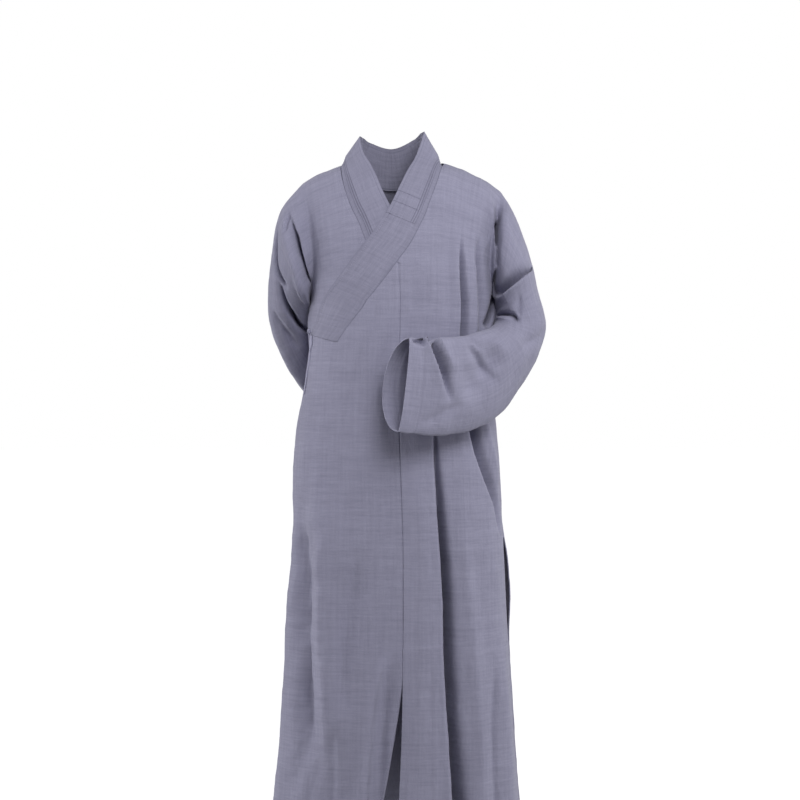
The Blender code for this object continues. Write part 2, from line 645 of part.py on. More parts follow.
def make_back():
    neck_around, neck_down = seam_of_collar("left neck", "right neck")
    behind = neck_down < -SHOULDER_SEAM
    neck_around, neck_dip = 2.0 - neck_around[behind], -neck_down[behind]
    side = 2.0 - float(armhole_line(SHOULDER_SEAM))
    columns = np.concatenate((
        np.linspace(side, neck_around[0], BACK_SHOULDER_COLUMNS),
        neck_around[1:-1],
        np.linspace(neck_around[-1], 4.0 - side, BACK_SHOULDER_COLUMNS),
    ))
    dip = np.interp(columns, neck_around, neck_dip, left=SHOULDER_SEAM, right=SHOULDER_SEAM)
    share = (columns - 2.0) / (2.0 - side)
    half = np.where(BODY_ROWS < 1.0, armhole_line(BODY_ROWS), 1.0)
    half = half - seam_allowance(heights_of(BODY_ROWS))
    around = 2.0 + half[:, None] * share
    rows = BODY_ROWS[:, None]
    below_neck = dip + (1.0 - dip) * (rows - SHOULDER_SEAM) / (1.0 - SHOULDER_SEAM)
    down = np.where(rows < 1.0, below_neck, rows)
    layers = panel_layers(back_form, around, down)
    cloth_in_two("back", *layers, underarm_row(BODY_ROWS), shade=0.9)


def armhole_ring(side, turn):
    """Points of the armhole: turn 0 is the shoulder, 0.25 the front and 0.5 the underarm."""
    fine = np.linspace(0.0, 1.0, 200)
    around = armhole_line(fine)
    front = outer_front(around, fine) if side > 0 else under_front(-around, fine)
    back = back_form(2.0 - side * around, fine)
    halves = []
    for half in (front, back):
        length = np.concatenate(([0.0], np.cumsum(np.linalg.norm(np.diff(half, axis=0), axis=1))))
        share = 1.0 - np.abs(1.0 - 2.0 * (turn % 1.0))
        spots = [np.interp(share, length / length[-1], half[:, axis]) for axis in range(3)]
        halves.append(np.stack(spots, axis=-1))
    ring = np.where((turn % 1.0 <= 0.5)[..., None], halves[0], halves[1])
    return ring + np.array((side * ARMHOLE_GAP, 0.0, 0.0))


def sleeve_ring(ring, turn):
    outer, inner = np.array(ring.outer), np.array(ring.inner)
    middle, reach = (outer + inner) / 2, (outer - inner) / 2
    facing = math.radians(ring.facing)
    front = np.array((math.sin(facing), -math.cos(facing), 0.0))
    up = np.cos(2 * math.pi * turn)[..., None]
    out = np.sin(2 * math.pi * turn)[..., None]
    width = np.where(out > 0, ring.front, ring.back)
    return middle + reach * up + front * width * out * (1.0 - ring.hang * up)


def sleeve_fold_height(folds, turn, along):
    total = np.zeros(np.broadcast(turn, along).shape)
    for fold in folds:
        start = np.array((fold.turn * SLEEVE_GIRTH, fold.along * SLEEVE_LENGTH))
        end = np.array((fold.turn_end * SLEEVE_GIRTH, fold.along_end * SLEEVE_LENGTH))
        run = end - start
        length = np.linalg.norm(run)
        run = run / length
        x = turn * SLEEVE_GIRTH - start[0]
        y = along * SLEEVE_LENGTH - start[1]
        share = (x * run[0] + y * run[1]) / length
        across = (x * run[1] - y * run[0]) / fold.width
        fade = ease(share / SLEEVE_FOLD_FADE) * ease((1.0 - share) / SLEEVE_FOLD_FADE)
        total = total + fold.depth * np.exp(-across * across) * fade
    return total


def sleeve_form(side):
    """The sleeve's form, from (turn, along) to points."""
    rings = LEFT_RINGS if side > 0 else RIGHT_RINGS
    folds = LEFT_SLEEVE_FOLDS if side > 0 else RIGHT_SLEEVE_FOLDS

    def smooth(turn, along):
        turns, alongs = turn[0], np.clip(along[:, 0], 0.0, 1.0)
        keys = [armhole_ring(side, turns)] + [sleeve_ring(ring, turns) for ring in rings]
        keys = np.array(keys)
        gaps = [np.linalg.norm(np.array(a.outer) + a.inner - b.outer - b.inner) / 2
                for a, b in zip(rings, rings[1:])]
        first = FIRST_RING_GAP
        knots = np.concatenate(([0.0, first], first + np.cumsum(gaps)))
        flat = curve(alongs, knots / knots[-1], keys.reshape(len(keys), -1))
        return flat.reshape(len(alongs), len(turns), 3)

    def form(turn, along):
        turn, along = np.broadcast_arrays(turn, np.clip(along, 0.0, 1.0))
        rise = sleeve_fold_height(folds, turn, along)
        return smooth(turn, along) - outward(smooth, turn, along) * side * rise[..., None]

    return form


def make_sleeve(name, side):
    form = sleeve_form(side)
    turn = np.arange(SLEEVE_COLUMNS)[None, :] / SLEEVE_COLUMNS
    along = np.linspace(0.0, 1.0, SLEEVE_ROWS)[:, None]
    turn, along = np.broadcast_arrays(turn, along)
    face = form(turn, along)
    inside = face + outward(form, turn, along) * side * CLOTH
    if side > 0:
        face, inside = face[:, ::-1], inside[:, ::-1]
    cloth_in_two(name, face, inside, SLEEVE_CUT_ROW, SLEEVE_CUT_GAP, tube=True, shade=1.03)


def collar_curves():
    """The stations: their measure along the band, places of both edges, and edge in the air."""
    seam_places, edge_places, edges, lies, middles = [], [], [], [], []
    for station in COLLAR_STATIONS:
        around, down = place(*station.seam)
        seam_places.append((around, -down if station.behind else down))
        edge_places.append(place(*station.edge))
        depth = body(*edge_places[-1])[1] if station.depth is None else station.depth
        edges.append((station.edge[0], depth, station.edge[1]))
        lies.append(1.0 if station.depth is None else 0.0)
        middles.append((body(*seam_places[-1]) + edges[-1]) / 2)
    steps = np.linalg.norm(np.diff(middles, axis=0), axis=1)
    knots = np.concatenate(([0.0], np.cumsum(steps)))
    return knots, np.array(seam_places), np.array(edge_places), np.array(edges), np.array(lies)


def collar_form(across, along):
    """The band's face, from (across, along) to points: across is 0 at the seam, 1 at the neck."""
    knots, seam_places, edge_places, edges, lies = collar_curves()
    seam_place = curve(along, knots, seam_places)
    share = across[..., None]
    places = seam_place * (1 - share) + curve(along, knots, edge_places) * share
    outer_side = ease((knots[OUTER_STATIONS] - along) / OUTER_FADE)

    def lifted(around, down):
        lift = outer_side * outer_lift(around, down) - (1 - outer_side) * under_sink(around, down)
        return on_body(around, down, lift + BAND_RISE)

    seam = lifted(seam_place[..., 0], seam_place[..., 1])
    standing = seam * (1 - share) + curve(along, knots, edges) * share
    lying = lifted(places[..., 0], places[..., 1])
    weight = ease(np.interp(along, knots, lies))[..., None]
    return standing * (1 - weight) + lying * weight


def make_collar():
    across, along = np.meshgrid(COLLAR_ACROSS, collar_stops())
    face = collar_form(across, along)
    normal = outward(collar_form, across, along)
    pull = face[:, 1] - face[:, 0]
    pull = pull / np.linalg.norm(pull, axis=-1, keepdims=True)
    band = face.copy()
    band[:, 0] = band[:, 0] + pull * COLLAR_SEAM_GAP
    cloth("collar_band", band, band - normal * BAND_CLOTH, shade=1.05)
    knots = collar_curves()[0]
    under_end = knots[station_number(GUARD_UNDER_END)]
    for layer, guard in enumerate(GUARDS):
        start = knots[station_number(guard.left_end)]
        rows = (along[:, 0] > start - 1e-6) & (along[:, 0] < under_end + 1e-6)
        height = (layer + 1) * (GUARD_CLOTH + LAYER_GAP)
        upper = (face + normal * height)[rows][:, guard.first_line:]
        lower = upper - normal[rows][:, guard.first_line:] * GUARD_CLOTH
        cloth(guard.name, upper, lower, shade=1.1 + 0.04 * layer)


def tie_ribbon(name, heights, half_widths, thickness, shade):
    """A strip of the tie down the overlap, lying on its points, moved out."""
    height = np.linspace(*heights, len(half_widths))
    middle = curve(height, *zip(*FREE_EDGE)) + TIE_INSET
    half = half_widths / quarter_length(height)
    around = middle[:, None] + half[:, None] * np.array((-1.0, 0.0, 1.0))
    down = np.broadcast_to(down_of(height)[:, None], around.shape)
    inside = outer_front(around, down) + outward(outer_front, around, down) * TIE_LIFT
    face = inside + outward(outer_front, around, down) * thickness
    cloth(name, face, inside, shade=shade)


def make_tie():
    leaf = LEAF_HALF_WIDTH * np.sin(math.pi * np.linspace(0.1, 0.95, LEAF_ROWS))
    tie_ribbon("tie_leaf", LEAF_HEIGHTS, leaf, CLOTH, 1.1)
    strand = np.full(STRAND_ROWS, STRAND_HALF_WIDTH)
    tie_ribbon("tie_strand", STRAND_HEIGHTS, strand, STRAND_CLOTH, 1.15)
    around = float(curve(KNOT_HEIGHT, *zip(*FREE_EDGE))) + KNOT_INSET
    down = down_of(KNOT_HEIGHT)
    lifted = outer_front(around, down) + outward(outer_front, around, down) * KNOT_LIFT
    bpy.ops.mesh.primitive_uv_sphere_add(segments=12, ring_count=8, location=lifted)
    knot = bpy.context.object
    knot.name = "tie_knot"
    knot.scale = KNOT_HALF_SIZE
    bpy.ops.object.transform_apply(location=False, rotation=False, scale=True)
    knot.data.shade_smooth()
    knot.data.materials.append(make_material("tie_knot", [part * 1.12 for part in LINEN]))


def main():
    for leftover in list(bpy.data.objects):
        bpy.data.objects.remove(leftover)
    make_front_left()
    make_front_overlap()
    make_front_under()
    make_back()
    make_sleeve("sleeve_left", 1)
    make_sleeve("sleeve_right", -1)
    make_collar()
    make_tie()


main()
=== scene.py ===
# %% [markdown]
# # A Buddhist monk's robe
#
# The real robe is a long gown of blue-grey linen. Its left front crosses over the right one, a
# doubled band runs round the neck and down the crossing, and the sleeves are wide. Here it is
# dressed as it hangs on a standing figure, with nobody in it. The solids of the part are the
# frame: they say where each piece of cloth lies, and this script makes the cloth itself, with
# its folds, hems, seams and weave.

# %% Load the frame
import json
import math
from collections import namedtuple

import bpy
import numpy as np
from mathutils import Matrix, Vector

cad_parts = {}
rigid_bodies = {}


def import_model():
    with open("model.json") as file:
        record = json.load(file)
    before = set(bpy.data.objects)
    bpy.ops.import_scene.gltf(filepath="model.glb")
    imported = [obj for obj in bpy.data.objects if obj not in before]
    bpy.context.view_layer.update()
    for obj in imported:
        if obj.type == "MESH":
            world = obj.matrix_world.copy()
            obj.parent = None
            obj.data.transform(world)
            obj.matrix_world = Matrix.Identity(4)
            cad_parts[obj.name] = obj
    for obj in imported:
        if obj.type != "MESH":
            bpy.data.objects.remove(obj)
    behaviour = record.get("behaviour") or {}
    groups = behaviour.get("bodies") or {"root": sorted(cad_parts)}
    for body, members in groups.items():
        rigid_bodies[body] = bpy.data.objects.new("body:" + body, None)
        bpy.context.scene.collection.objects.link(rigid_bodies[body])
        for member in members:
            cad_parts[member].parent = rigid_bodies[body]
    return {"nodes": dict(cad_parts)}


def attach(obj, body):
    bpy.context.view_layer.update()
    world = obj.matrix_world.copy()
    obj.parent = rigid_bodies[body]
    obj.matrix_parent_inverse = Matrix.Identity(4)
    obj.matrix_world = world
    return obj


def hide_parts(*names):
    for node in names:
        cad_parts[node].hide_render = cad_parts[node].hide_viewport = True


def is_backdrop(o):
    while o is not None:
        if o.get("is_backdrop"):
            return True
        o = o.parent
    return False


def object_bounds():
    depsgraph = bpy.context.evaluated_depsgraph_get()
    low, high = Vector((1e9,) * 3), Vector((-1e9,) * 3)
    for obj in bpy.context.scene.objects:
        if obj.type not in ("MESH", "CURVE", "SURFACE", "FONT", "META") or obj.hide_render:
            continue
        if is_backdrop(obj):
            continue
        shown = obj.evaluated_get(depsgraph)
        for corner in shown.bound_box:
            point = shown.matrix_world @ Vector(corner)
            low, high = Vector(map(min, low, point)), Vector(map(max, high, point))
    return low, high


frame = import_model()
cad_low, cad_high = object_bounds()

print("nodes:", len(frame["nodes"]), "size:", [round(v, 3) for v in cad_high - cad_low])

# %% [markdown]
# ## The camera, the floor and the lights
#
# A garment of this length is looked at from about four metres, level with the waist, through a
# long lens, so that neither the shoulders nor the hem look swollen. Cloth this matte could be
# lit evenly from all round, but its folds would vanish. So one large soft light stands above and
# in front, and the surround, which looks white, lights the cloth from its two sides only.

# %% Camera
VIEW_DISTANCE = 4.0
VIEW_WIDTH = 1.656
EYE = (0.0093, -VIEW_DISTANCE, -0.4906)
SENSOR = 36.0

scene = bpy.context.scene
scene.view_settings.view_transform = "Standard"


def link(thing):
    scene.collection.objects.link(thing)
    return thing


camera = link(bpy.data.objects.new("camera", bpy.data.cameras.new("camera")))
camera.data.sensor_width = SENSOR
camera.data.lens = SENSOR * VIEW_DISTANCE / VIEW_WIDTH
camera.location = EYE
camera.rotation_euler = (math.radians(90), 0, 0)
scene.camera = camera
print("lens:", round(camera.data.lens, 1), "mm")

# %% [markdown]
# Shader nodes are easier to read as sums. A `Wire` is the output of one node, and adding or
# multiplying two wires adds the Math node that does it.


# %% Shader sums
class Wire:
    """An output of a shader node. Sums on it add Math nodes."""

    def __init__(self, tree, socket):
        self.tree, self.socket = tree, socket

    def node(self, kind, settings=None, inputs=None, output=0):
        """Adds a node: its settings first, then its sockets' values or links."""
        made = self.tree.nodes.new(kind)
        for name, value in (settings or {}).items():
            setattr(made, name, value)
        for name, value in (inputs or {}).items():
            if isinstance(value, Wire):
                self.tree.links.new(value.socket, made.inputs[name])
            else:
                made.inputs[name].default_value = value
        return Wire(self.tree, made.outputs[output])

    def math(self, operation, first, second):
        return self.node("ShaderNodeMath", {"operation": operation}, {0: first, 1: second})

    def __add__(self, other):
        return self.math("ADD", self, other)

    __radd__ = __add__

    def __mul__(self, other):
        return self.math("MULTIPLY", self, other)

    __rmul__ = __mul__

    def __sub__(self, other):
        return self.math("SUBTRACT", self, other)

    def __rsub__(self, other):
        return self.math("SUBTRACT", other, self)


def new_material(name):
    """A material with its Principled shader, and a wire to start from."""
    material = bpy.data.materials.new(name)
    material.use_nodes = True
    shader = material.node_tree.nodes["Principled BSDF"]
    return material, shader, Wire(material.node_tree, None)


print("a wire adds, subtracts and multiplies")

# %% Floor, surround and light
FLOOR_SIZE, FLOOR_GAP = 60.0, 0.0005
FLOOR_COLOUR, FLOOR_ROUGHNESS, FLOOR_GLOW = (0.45, 0.45, 0.45, 1.0), 0.9, 0.85
WHITE = (1.0, 1.0, 1.0, 1.0)
GLOW_LEFT, GLOW_RIGHT = 1.6, 3.0
LIGHT_PLACE, LIGHT_AIM = (0.6, -2.1, 1.1), (0.0, 0.0, -0.3)
LIGHT_SIZE, LIGHT_POWER = 1.4, 48.5


def make_floor():
    half, height = FLOOR_SIZE / 2, cad_low.z - FLOOR_GAP
    corners = [(-half, -half), (half, -half), (half, half), (-half, half)]
    mesh = bpy.data.meshes.new("floor")
    mesh.from_pydata([(x, y, height) for x, y in corners], [], [(0, 1, 2, 3)])
    floor = link(bpy.data.objects.new("floor", mesh))
    material, shader, _ = new_material("pale floor")
    shader.inputs["Base Color"].default_value = FLOOR_COLOUR
    shader.inputs["Roughness"].default_value = FLOOR_ROUGHNESS
    shader.inputs["Emission Color"].default_value = WHITE
    shader.inputs["Emission Strength"].default_value = FLOOR_GLOW
    mesh.materials.append(material)
    floor.visible_diffuse = False
    floor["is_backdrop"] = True


def make_surround():
    """White where it is seen. As a light it glows softly from the wearer's left, and from a
    narrower place at the right, but more strongly there."""
    world = bpy.data.worlds.new("surround")
    world.use_nodes = True
    scene.world = world
    start = Wire(world.node_tree, None)
    seen = start.node("ShaderNodeLightPath")
    direction = start.node("ShaderNodeTexCoord")
    across = start.node("ShaderNodeSeparateXYZ", None, {0: direction}, output=0)
    to_left, to_right = (start.math("MAXIMUM", side, 0.0) for side in (across, across * -1.0))
    to_right = to_right * to_right
    glow = to_left * to_left * GLOW_LEFT + to_right * to_right * GLOW_RIGHT
    strength = seen * (1.0 - glow) + glow
    background = world.node_tree.nodes["Background"]
    background.inputs["Color"].default_value = WHITE
    world.node_tree.links.new(strength.socket, background.inputs["Strength"])


def make_light():
    light = link(bpy.data.objects.new("front light", bpy.data.lights.new("front light", "AREA")))
    light.data.size = LIGHT_SIZE
    light.data.energy = LIGHT_POWER
    light.location = LIGHT_PLACE
    x, y, z = np.array(LIGHT_AIM) - np.array(LIGHT_PLACE)
    light.rotation_euler = (math.atan2(math.hypot(x, y), -z), 0.0, math.pi + math.atan2(x, -y))


make_floor()
make_surround()
make_light()
print("floor at", round(cad_low.z, 4))

# %% [markdown]
# ## The form that the cloth hangs on
#
# Every panel of the body lies on one form, so they are all cut from it. A place on the form has
# two measures: `around` counts quarters from the centre front (0) by the wearer's left side (1)
# to the centre back (2), and `down` runs from the shoulder line (0) by the underarm (1) to the
# hem (2). The sections are squarish ovals, joined by smooth curves.

# %% Curves
Section = namedtuple("Section", "height centre half_width front back")
UNDERARM, HEM = -0.29, -1.37
SIDE_SLIT_TOP, FRONT_SLIT_TOP = -0.775, -0.985
SHOULDER_HALF, SHOULDER_DEPTH = 0.215, 0.008
SQUARENESS, OUTLINE_POINTS = 2.5, 600
USUAL_HALF_WIDTH, USUAL_DEPTH = 0.20, 0.14
QUARTER_TO_AXES = 0.83
TINY = 1e-12
BODY_SECTIONS = (
    Section(-0.29, 0.012, 0.181, 0.132, 0.118),
    Section(-0.37, 0.009, 0.183, 0.136, 0.122),
    Section(-0.46, 0.006, 0.193, 0.139, 0.128),
    Section(-0.60, 0.005, 0.208, 0.143, 0.136),
    Section(-0.78, 0.008, 0.214, 0.148, 0.148),
    Section(-0.95, 0.007, 0.223, 0.154, 0.160),
    Section(-1.15, 0.007, 0.235, 0.162, 0.174),
    Section(-1.37, 0.004, 0.255, 0.172, 0.190),
)
SHOULDER_LINE = (
    (0.00, 0.000), (0.06, 0.001), (0.10, -0.001), (0.15, -0.019), (0.19, -0.038),
    (0.215, -0.056), (0.26, -0.100),
)


def ease(share):
    """0 below 0, 1 above 1, and a smooth step between."""
    share = np.clip(share, 0.0, 1.0)
    return share * share * (3.0 - 2.0 * share)


def unit(vectors):
    """The same directions, each with a length of 1."""
    length = np.linalg.norm(vectors, axis=-1, keepdims=True)
    return vectors / np.maximum(length, TINY)


def run_along(points):
    """How far along a line each of its points is."""
    steps = np.linalg.norm(np.diff(points, axis=0), axis=1)
    return np.concatenate(([0.0], np.cumsum(steps)))


def curve(at, knots, values):
    """A smooth curve through values (one or more to a knot), held level past both ends."""
    at, knots, values = (np.asarray(v, float) for v in (at, knots, values))
    order = np.argsort(knots)
    knots, values = knots[order], values[order]
    many = values.ndim > 1
    step = np.diff(knots)
    widths = step[:, None] if many else step
    rise = np.diff(values, axis=0) / widths
    slope = np.empty_like(values)
    slope[1:-1] = (rise[:-1] * widths[1:] + rise[1:] * widths[:-1]) / (widths[1:] + widths[:-1])
    slope[0], slope[-1] = rise[0], rise[-1]
    index = np.clip(np.searchsorted(knots, at) - 1, 0, len(step) - 1)
    t = np.clip((at - knots[index]) / step[index], 0.0, 1.0)
    span = step[index]
    if many:
        t, span = t[..., None], span[..., None]
    return (
        (1 + 2 * t) * (1 - t) ** 2 * values[index]
        + t * (1 - t) ** 2 * span * slope[index]
        + t * t * (3 - 2 * t) * values[index + 1]
        + t * t * (t - 1) * span * slope[index + 1]
    )


def quarter_outline():
    """A quarter of a level section: its side and depth shares, against shares of its length."""
    angle = np.linspace(0.0, math.pi / 2, OUTLINE_POINTS)
    side = np.sin(angle) ** (2 / SQUARENESS)
    depth = np.cos(angle) ** (2 / SQUARENESS)
    length = run_along(np.stack((side * USUAL_HALF_WIDTH, depth * USUAL_DEPTH), axis=-1))
    return length / length[-1], side, depth


LENGTH_SHARE, SIDE_SHARE, DEPTH_SHARE = quarter_outline()
print("sections:", len(BODY_SECTIONS))


# %% The body's form
FORM_STEP, BODY_STEP = 0.004, 0.01
PLACE_ROUNDS = 30


def section_sizes(height):
    """centre, half width, front depth and back depth of the body at a height."""
    height = np.minimum(height, UNDERARM)
    heights = [section.height for section in BODY_SECTIONS]
    return np.moveaxis(curve(height, heights, [s[1:] for s in BODY_SECTIONS]), -1, 0)


def heights_of(down):
    """The heights of places below the underarm; above it, the underarm's."""
    return UNDERARM + np.maximum(down - 1.0, 0.0) * (HEM - UNDERARM)


def down_of(height):
    return 1.0 + (height - UNDERARM) / (HEM - UNDERARM)


def over_the_shoulder(around, down):
    """The same place with down not below 0: a negative one lies behind the shoulder line."""
    around, down = np.broadcast_arrays(np.asarray(around, float), np.asarray(down, float))
    return np.where(down < 0, 2.0 - around, around), np.abs(down)


def body(around, down):
    """The bare form of the robe's body, a point for each pair of measures."""
    around, down = over_the_shoulder(around, down)
    turn = (around + 2.0) % 4.0 - 2.0
    is_front = np.abs(turn) <= 1.0
    quarter = np.where(is_front, np.abs(turn), 2.0 - np.abs(turn))
    side = np.sign(turn) * np.interp(quarter, LENGTH_SHARE, SIDE_SHARE)
    depth_share = np.interp(quarter, LENGTH_SHARE, DEPTH_SHARE)
    tilt = np.clip(down, 0.0, 1.0) * math.pi / 2
    low = heights_of(down)
    centre, half_width, front, back = section_sizes(low)
    half_width = half_width + (SHOULDER_HALF - half_width) * np.cos(tilt) ** 2
    ridge = curve(np.abs(centre + SHOULDER_HALF * side), *zip(*SHOULDER_LINE))
    x = centre + half_width * side
    y = SHOULDER_DEPTH * np.cos(tilt)
    y = y + depth_share * np.where(is_front, -front, back) * np.sin(tilt)
    z = low + (ridge - UNDERARM) * np.cos(tilt)
    return np.stack((x, y, z), axis=-1)


def outward(form, across, along, step=FORM_STEP):
    """The direction off a form that maps (across, along) to points, from its slopes."""
    sideways = form(across + step, along) - form(across - step, along)
    lengthways = form(across, along + step) - form(across, along - step)
    return unit(np.cross(lengthways, sideways))


def quarter_length(height):
    """Roughly how long a quarter of the way round is, so that a fold has its real width."""
    _, half_width, front, _ = section_sizes(height)
    return QUARTER_TO_AXES * (half_width + front)


def place(x, height):
    """around and down of the place on the front that has this x and height."""
    low = min(height, UNDERARM)
    centre, low_half, _, _ = (float(size) for size in section_sizes(np.array(low)))
    lean, half_width, side = 0.0, low_half, 0.0
    for _ in range(PLACE_ROUNDS):
        side = max(-1.0, min(1.0, (x - centre) / half_width))
        if height > UNDERARM:
            ridge = float(curve(abs(centre + SHOULDER_HALF * side), *zip(*SHOULDER_LINE)))
            lean = min(1.0, (height - UNDERARM) / (ridge - UNDERARM))
        half_width = low_half + (SHOULDER_HALF - low_half) * lean * lean
    around = math.copysign(float(np.interp(abs(side), SIDE_SHARE, LENGTH_SHARE)), side)
    if height > UNDERARM:
        return around, math.acos(lean) / (math.pi / 2)
    return around, down_of(height)


print("underarm:", body(np.array(1.0), np.array(1.0)).round(3))

# %% [markdown]
# ## Folds
#
# A fold is a line on the cloth, with a width on each side of it, and a depth: above zero it is a
# ridge and below zero a trough. A narrow side beside a broad one gives the crisp lip that linen
# makes where it laps over itself. Folds could come from a cloth simulation, but then they would
# fall where chance puts them, so each is listed one by one.

# %% Fold lines
Fold = namedtuple("Fold", "name path left right depth fade_in fade_out spread lean",
                  defaults=(1.0, 0.0))
FOLD_STEPS = 14
FOLD_REACH, FOLD_PEAK = 3.2, 1.7
LINE_START, LINE_END = -1.0, 2.0
FAR_AWAY, LEAST_FADE = 1e9, 1e-3


def smooth_path(path):
    """More points along a line, on a smooth curve through its own."""
    length = run_along(np.array(path))
    return curve(np.linspace(0.0, length[-1], FOLD_STEPS), length, path)


def fold_push(lines, across, along):
    """How far folds push the cloth out, across and along, at places given in metres on it. The
    first and last step of a line count as if they ran on, and the fades end the fold."""
    total = np.zeros(np.broadcast(across, along).shape + (3,))
    for line, left, right, depth, fade_in, fade_out, spread, lean in lines:
        reach = FOLD_REACH * max(left, right) * max(1.0, spread)
        low, high = line.min(axis=0) - reach, line.max(axis=0) + reach
        near = (across > low[0]) & (across < high[0]) & (along > low[1]) & (along < high[1])
        if not near.any():
            continue
        x, y = across[near], along[near]
        steps, starts = np.diff(line, axis=0), run_along(line)
        lengths = np.linalg.norm(steps, axis=1)
        best, side, share = np.full(x.shape, FAR_AWAY), np.zeros(x.shape), np.zeros(x.shape)
        to_right = np.zeros(x.shape + (2,))
        last = len(steps) - 1
        for number, (start, step, length) in enumerate(zip(line, steps, lengths)):
            ahead = step / length
            run = (x - start[0]) * ahead[0] + (y - start[1]) * ahead[1]
            first_run = 0.0 if number else LINE_START
            kept = np.clip(run, first_run, LINE_END if number == last else length)
            away = np.hypot(x - start[0] - kept * ahead[0], y - start[1] - kept * ahead[1])
            closer = away < best
            best = np.where(closer, away, best)
            cross = (x - start[0]) * ahead[1] - (y - start[1]) * ahead[0]
            side = np.where(closer, cross, side)
            to_right[closer] = ahead[1], -ahead[0]
            share = np.where(closer, (starts[number] + run) / starts[-1], share)
        width = np.where(side > 0, right, left) * (1.0 + (spread - 1.0) * np.clip(share, 0.0, 1.0))
        fade = ease(share / max(fade_in, LEAST_FADE))
        fade = fade * ease((1.0 - share) / max(fade_out, LEAST_FADE))
        rise = depth * np.exp(-((best / width) ** FOLD_PEAK)) * fade
        slide = to_right * (lean * np.abs(rise))[..., None]
        total[near] += np.concatenate((rise[..., None], slide), axis=-1)
    return total


print("steps to a fold:", FOLD_STEPS)

# %% [markdown]
# The folds of the body, as (around, height) points. They hang from three places: from the chest
# and the armholes, from under the raised arm, and from the hips down to the hem. The back has
# its own, of the same kind.

